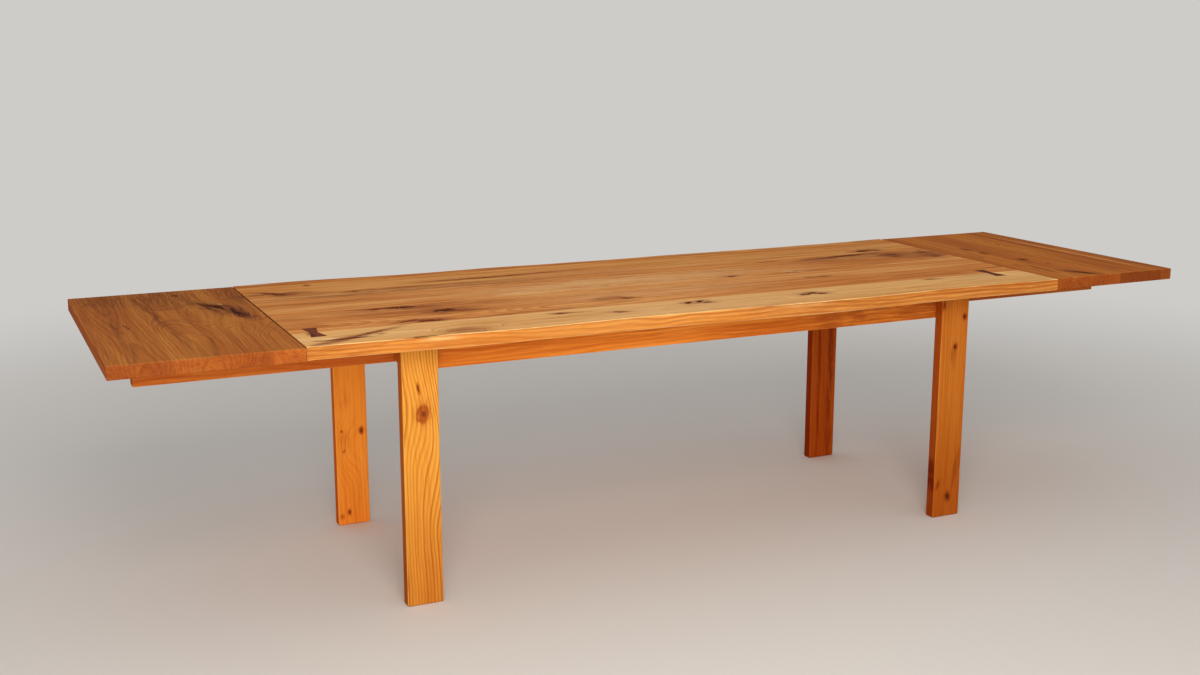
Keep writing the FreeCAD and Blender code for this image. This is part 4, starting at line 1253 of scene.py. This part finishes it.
class TABLE_OT_stage(bpy.types.Operator):
    """Set up the floor, the lamps and the camera"""
    bl_idname = "table.stage"
    bl_label = "Stage"

    def execute(self, context):
        scene = context.scene
        settings = scene.table_stage
        scene.view_settings.view_transform = "Standard"
        make_floor(settings)
        make_lamps(scene, settings)
        make_camera(scene, settings)
        return {"FINISHED"}


def make_floor(settings):
    """A plain pale floor that curves up into a wall far behind the table."""
    mesh = bpy.data.meshes.new("floor")
    bm = bmesh.new()
    bmesh.ops.create_grid(bm, x_segments=1, y_segments=1, size=FLOOR_HALF)
    far = [edge for edge in bm.edges if all(vert.co.y > 0 for vert in edge.verts)]
    wall = bmesh.ops.extrude_edge_only(bm, edges=far)["geom"]
    bmesh.ops.translate(bm, vec=(0, 0, FLOOR_HALF),
                        verts=[item for item in wall if isinstance(item, bmesh.types.BMVert)])
    bmesh.ops.bevel(bm, geom=far, offset=FLOOR_HALF / 2, offset_type="OFFSET",
                    segments=FLOOR_BEND_SEGMENTS, profile=0.5, affect="EDGES", material=-1)
    bmesh.ops.rotate(bm, cent=(0, 0, 0), verts=bm.verts,
                     matrix=Matrix.Rotation(-settings.camera_turn, 3, "Z"))
    bm.to_mesh(mesh)
    bm.free()
    mesh.shade_smooth()
    floor = bpy.data.objects.new("floor", mesh)
    bpy.context.scene.collection.objects.link(floor)
    paint = Finish("floor_paint")
    paint.set("Base Color", tuple(settings.floor_colour))
    paint.set("Roughness", 0.9)
    paint.set("Specular IOR Level", 0.1)
    # Far from the table the backdrop is one plain colour to the camera and to reflections.
    place = paint.add("ShaderNodeTexCoord", {}, output=3)
    far = paint.add("ShaderNodeVectorMath", {"operation": "LENGTH"}, place, output=1)
    glow = paint.add("ShaderNodeEmission", {}, Color=(*settings.backdrop_colour, 1), Strength=1.0)
    mixed = paint.to_backdrop(far.ramp(*BACKDROP_REACH), paint.shader.outputs[0], glow)
    paint.tree.links.new(mixed.socket, paint.tree.nodes["Material Output"].inputs["Surface"])
    mesh.materials.append(paint.material)


def make_lamps(scene, settings):
    """Soft light all round, and two broad lamps in front, one high and one low."""
    world = bpy.data.worlds.new("studio")
    world.use_nodes = True
    background = world.node_tree.nodes["Background"]
    background.inputs["Strength"].default_value = settings.fill_strength
    background.inputs["Color"].default_value = (*settings.fill_colour, 1)
    sky = Nodes(world.node_tree)
    backdrop = sky.add("ShaderNodeBackground", {}, Color=(*settings.backdrop_colour, 1),
                       Strength=1.0)
    mixed = sky.to_backdrop(1.0, background.outputs[0], backdrop)
    sky.tree.links.new(mixed.socket, sky.tree.nodes["World Output"].inputs["Surface"])
    scene.world = world

    for name, place, power in (("main_lamp", settings.key_place, settings.key_power),
                               ("low_lamp", settings.low_place, settings.low_power)):
        light = bpy.data.lights.new(name, "AREA")
        light.shape, light.size, light.energy = "DISK", settings.lamp_size, power
        light.color = settings.lamp_colour
        lamp = bpy.data.objects.new(name, light)
        lamp.location = place
        lamp.rotation_euler = (Vector(LAMP_TARGET) - lamp.location).to_track_quat(
            "-Z", "Y").to_euler()
        scene.collection.objects.link(lamp)


def make_camera(scene, settings):
    """The camera, from its place, turn and tilt."""
    turn, tilt = settings.camera_turn, settings.camera_tilt
    forward = Vector((math.sin(turn) * math.cos(tilt), math.cos(turn) * math.cos(tilt),
                      math.sin(tilt)))
    right = Vector((math.cos(turn), -math.sin(turn), 0))
    up = right.cross(forward)
    camera = bpy.data.cameras.new("camera")
    camera.sensor_fit = "HORIZONTAL"
    camera.lens = settings.focal_pixels / IMAGE_WIDTH * camera.sensor_width
    eye = bpy.data.objects.new("camera", camera)
    eye.matrix_world = Matrix.Translation(settings.camera_place) @ Matrix(
        (right, up, -forward)).transposed().to_4x4()
    scene.collection.objects.link(eye)
    scene.camera = eye


class TABLE_PT_sidebar(bpy.types.Panel):
    """Lists the table's operators and their settings"""
    bl_label = "Draw Leaf Table"
    bl_space_type = "VIEW_3D"
    bl_region_type = "UI"
    bl_category = "Table"

    def draw(self, context):
        for operator in OPERATORS:
            self.layout.operator(operator.bl_idname)
        for name in SETTINGS:
            box = self.layout.box()
            group = getattr(context.scene, name)
            box.label(text=name.replace("_", " "))
            for key in group.bl_rna.properties.keys():
                if key not in ("rna_type", "name"):
                    box.prop(group, key)


SETTINGS = {
    "table_top_wood": TopWood, "table_pale_wood": PaleWood, "table_leaf_wood": LeafWood,
    "table_leg_wood": LegWood, "table_frame_wood": FrameWood, "table_dark_wood": DarkWood,
    "table_dowel_wood": DowelWood, "table_steel": SteelFinish, "table_stage": StageSettings,
}
OPERATORS = (TABLE_OT_top, TABLE_OT_keys, TABLE_OT_leaves, TABLE_OT_legs, TABLE_OT_frame,
             TABLE_OT_bearers, TABLE_OT_fasteners, TABLE_OT_stage)
CLASSES = (*SETTINGS.values(), *OPERATORS, TABLE_PT_sidebar)


def register():
    """Registers the classes and hangs the settings on the scene."""
    for item in CLASSES:
        bpy.utils.register_class(item)
    for name, group in SETTINGS.items():
        setattr(bpy.types.Scene, name, PointerProperty(type=group))


def unregister():
    """Takes the settings and the classes away again."""
    for name in SETTINGS:
        delattr(bpy.types.Scene, name)
    for item in reversed(CLASSES):
        bpy.utils.unregister_class(item)


def main():
    """Builds the whole scene and writes the two sizes."""
    register()
    bpy.ops.table.top()
    bpy.ops.table.keys()
    bpy.ops.table.leaves()
    bpy.ops.table.legs()
    bpy.ops.table.frame()
    bpy.ops.table.bearers()
    bpy.ops.table.fasteners()
    bpy.ops.table.stage()


if __name__ == "__main__":
    main()
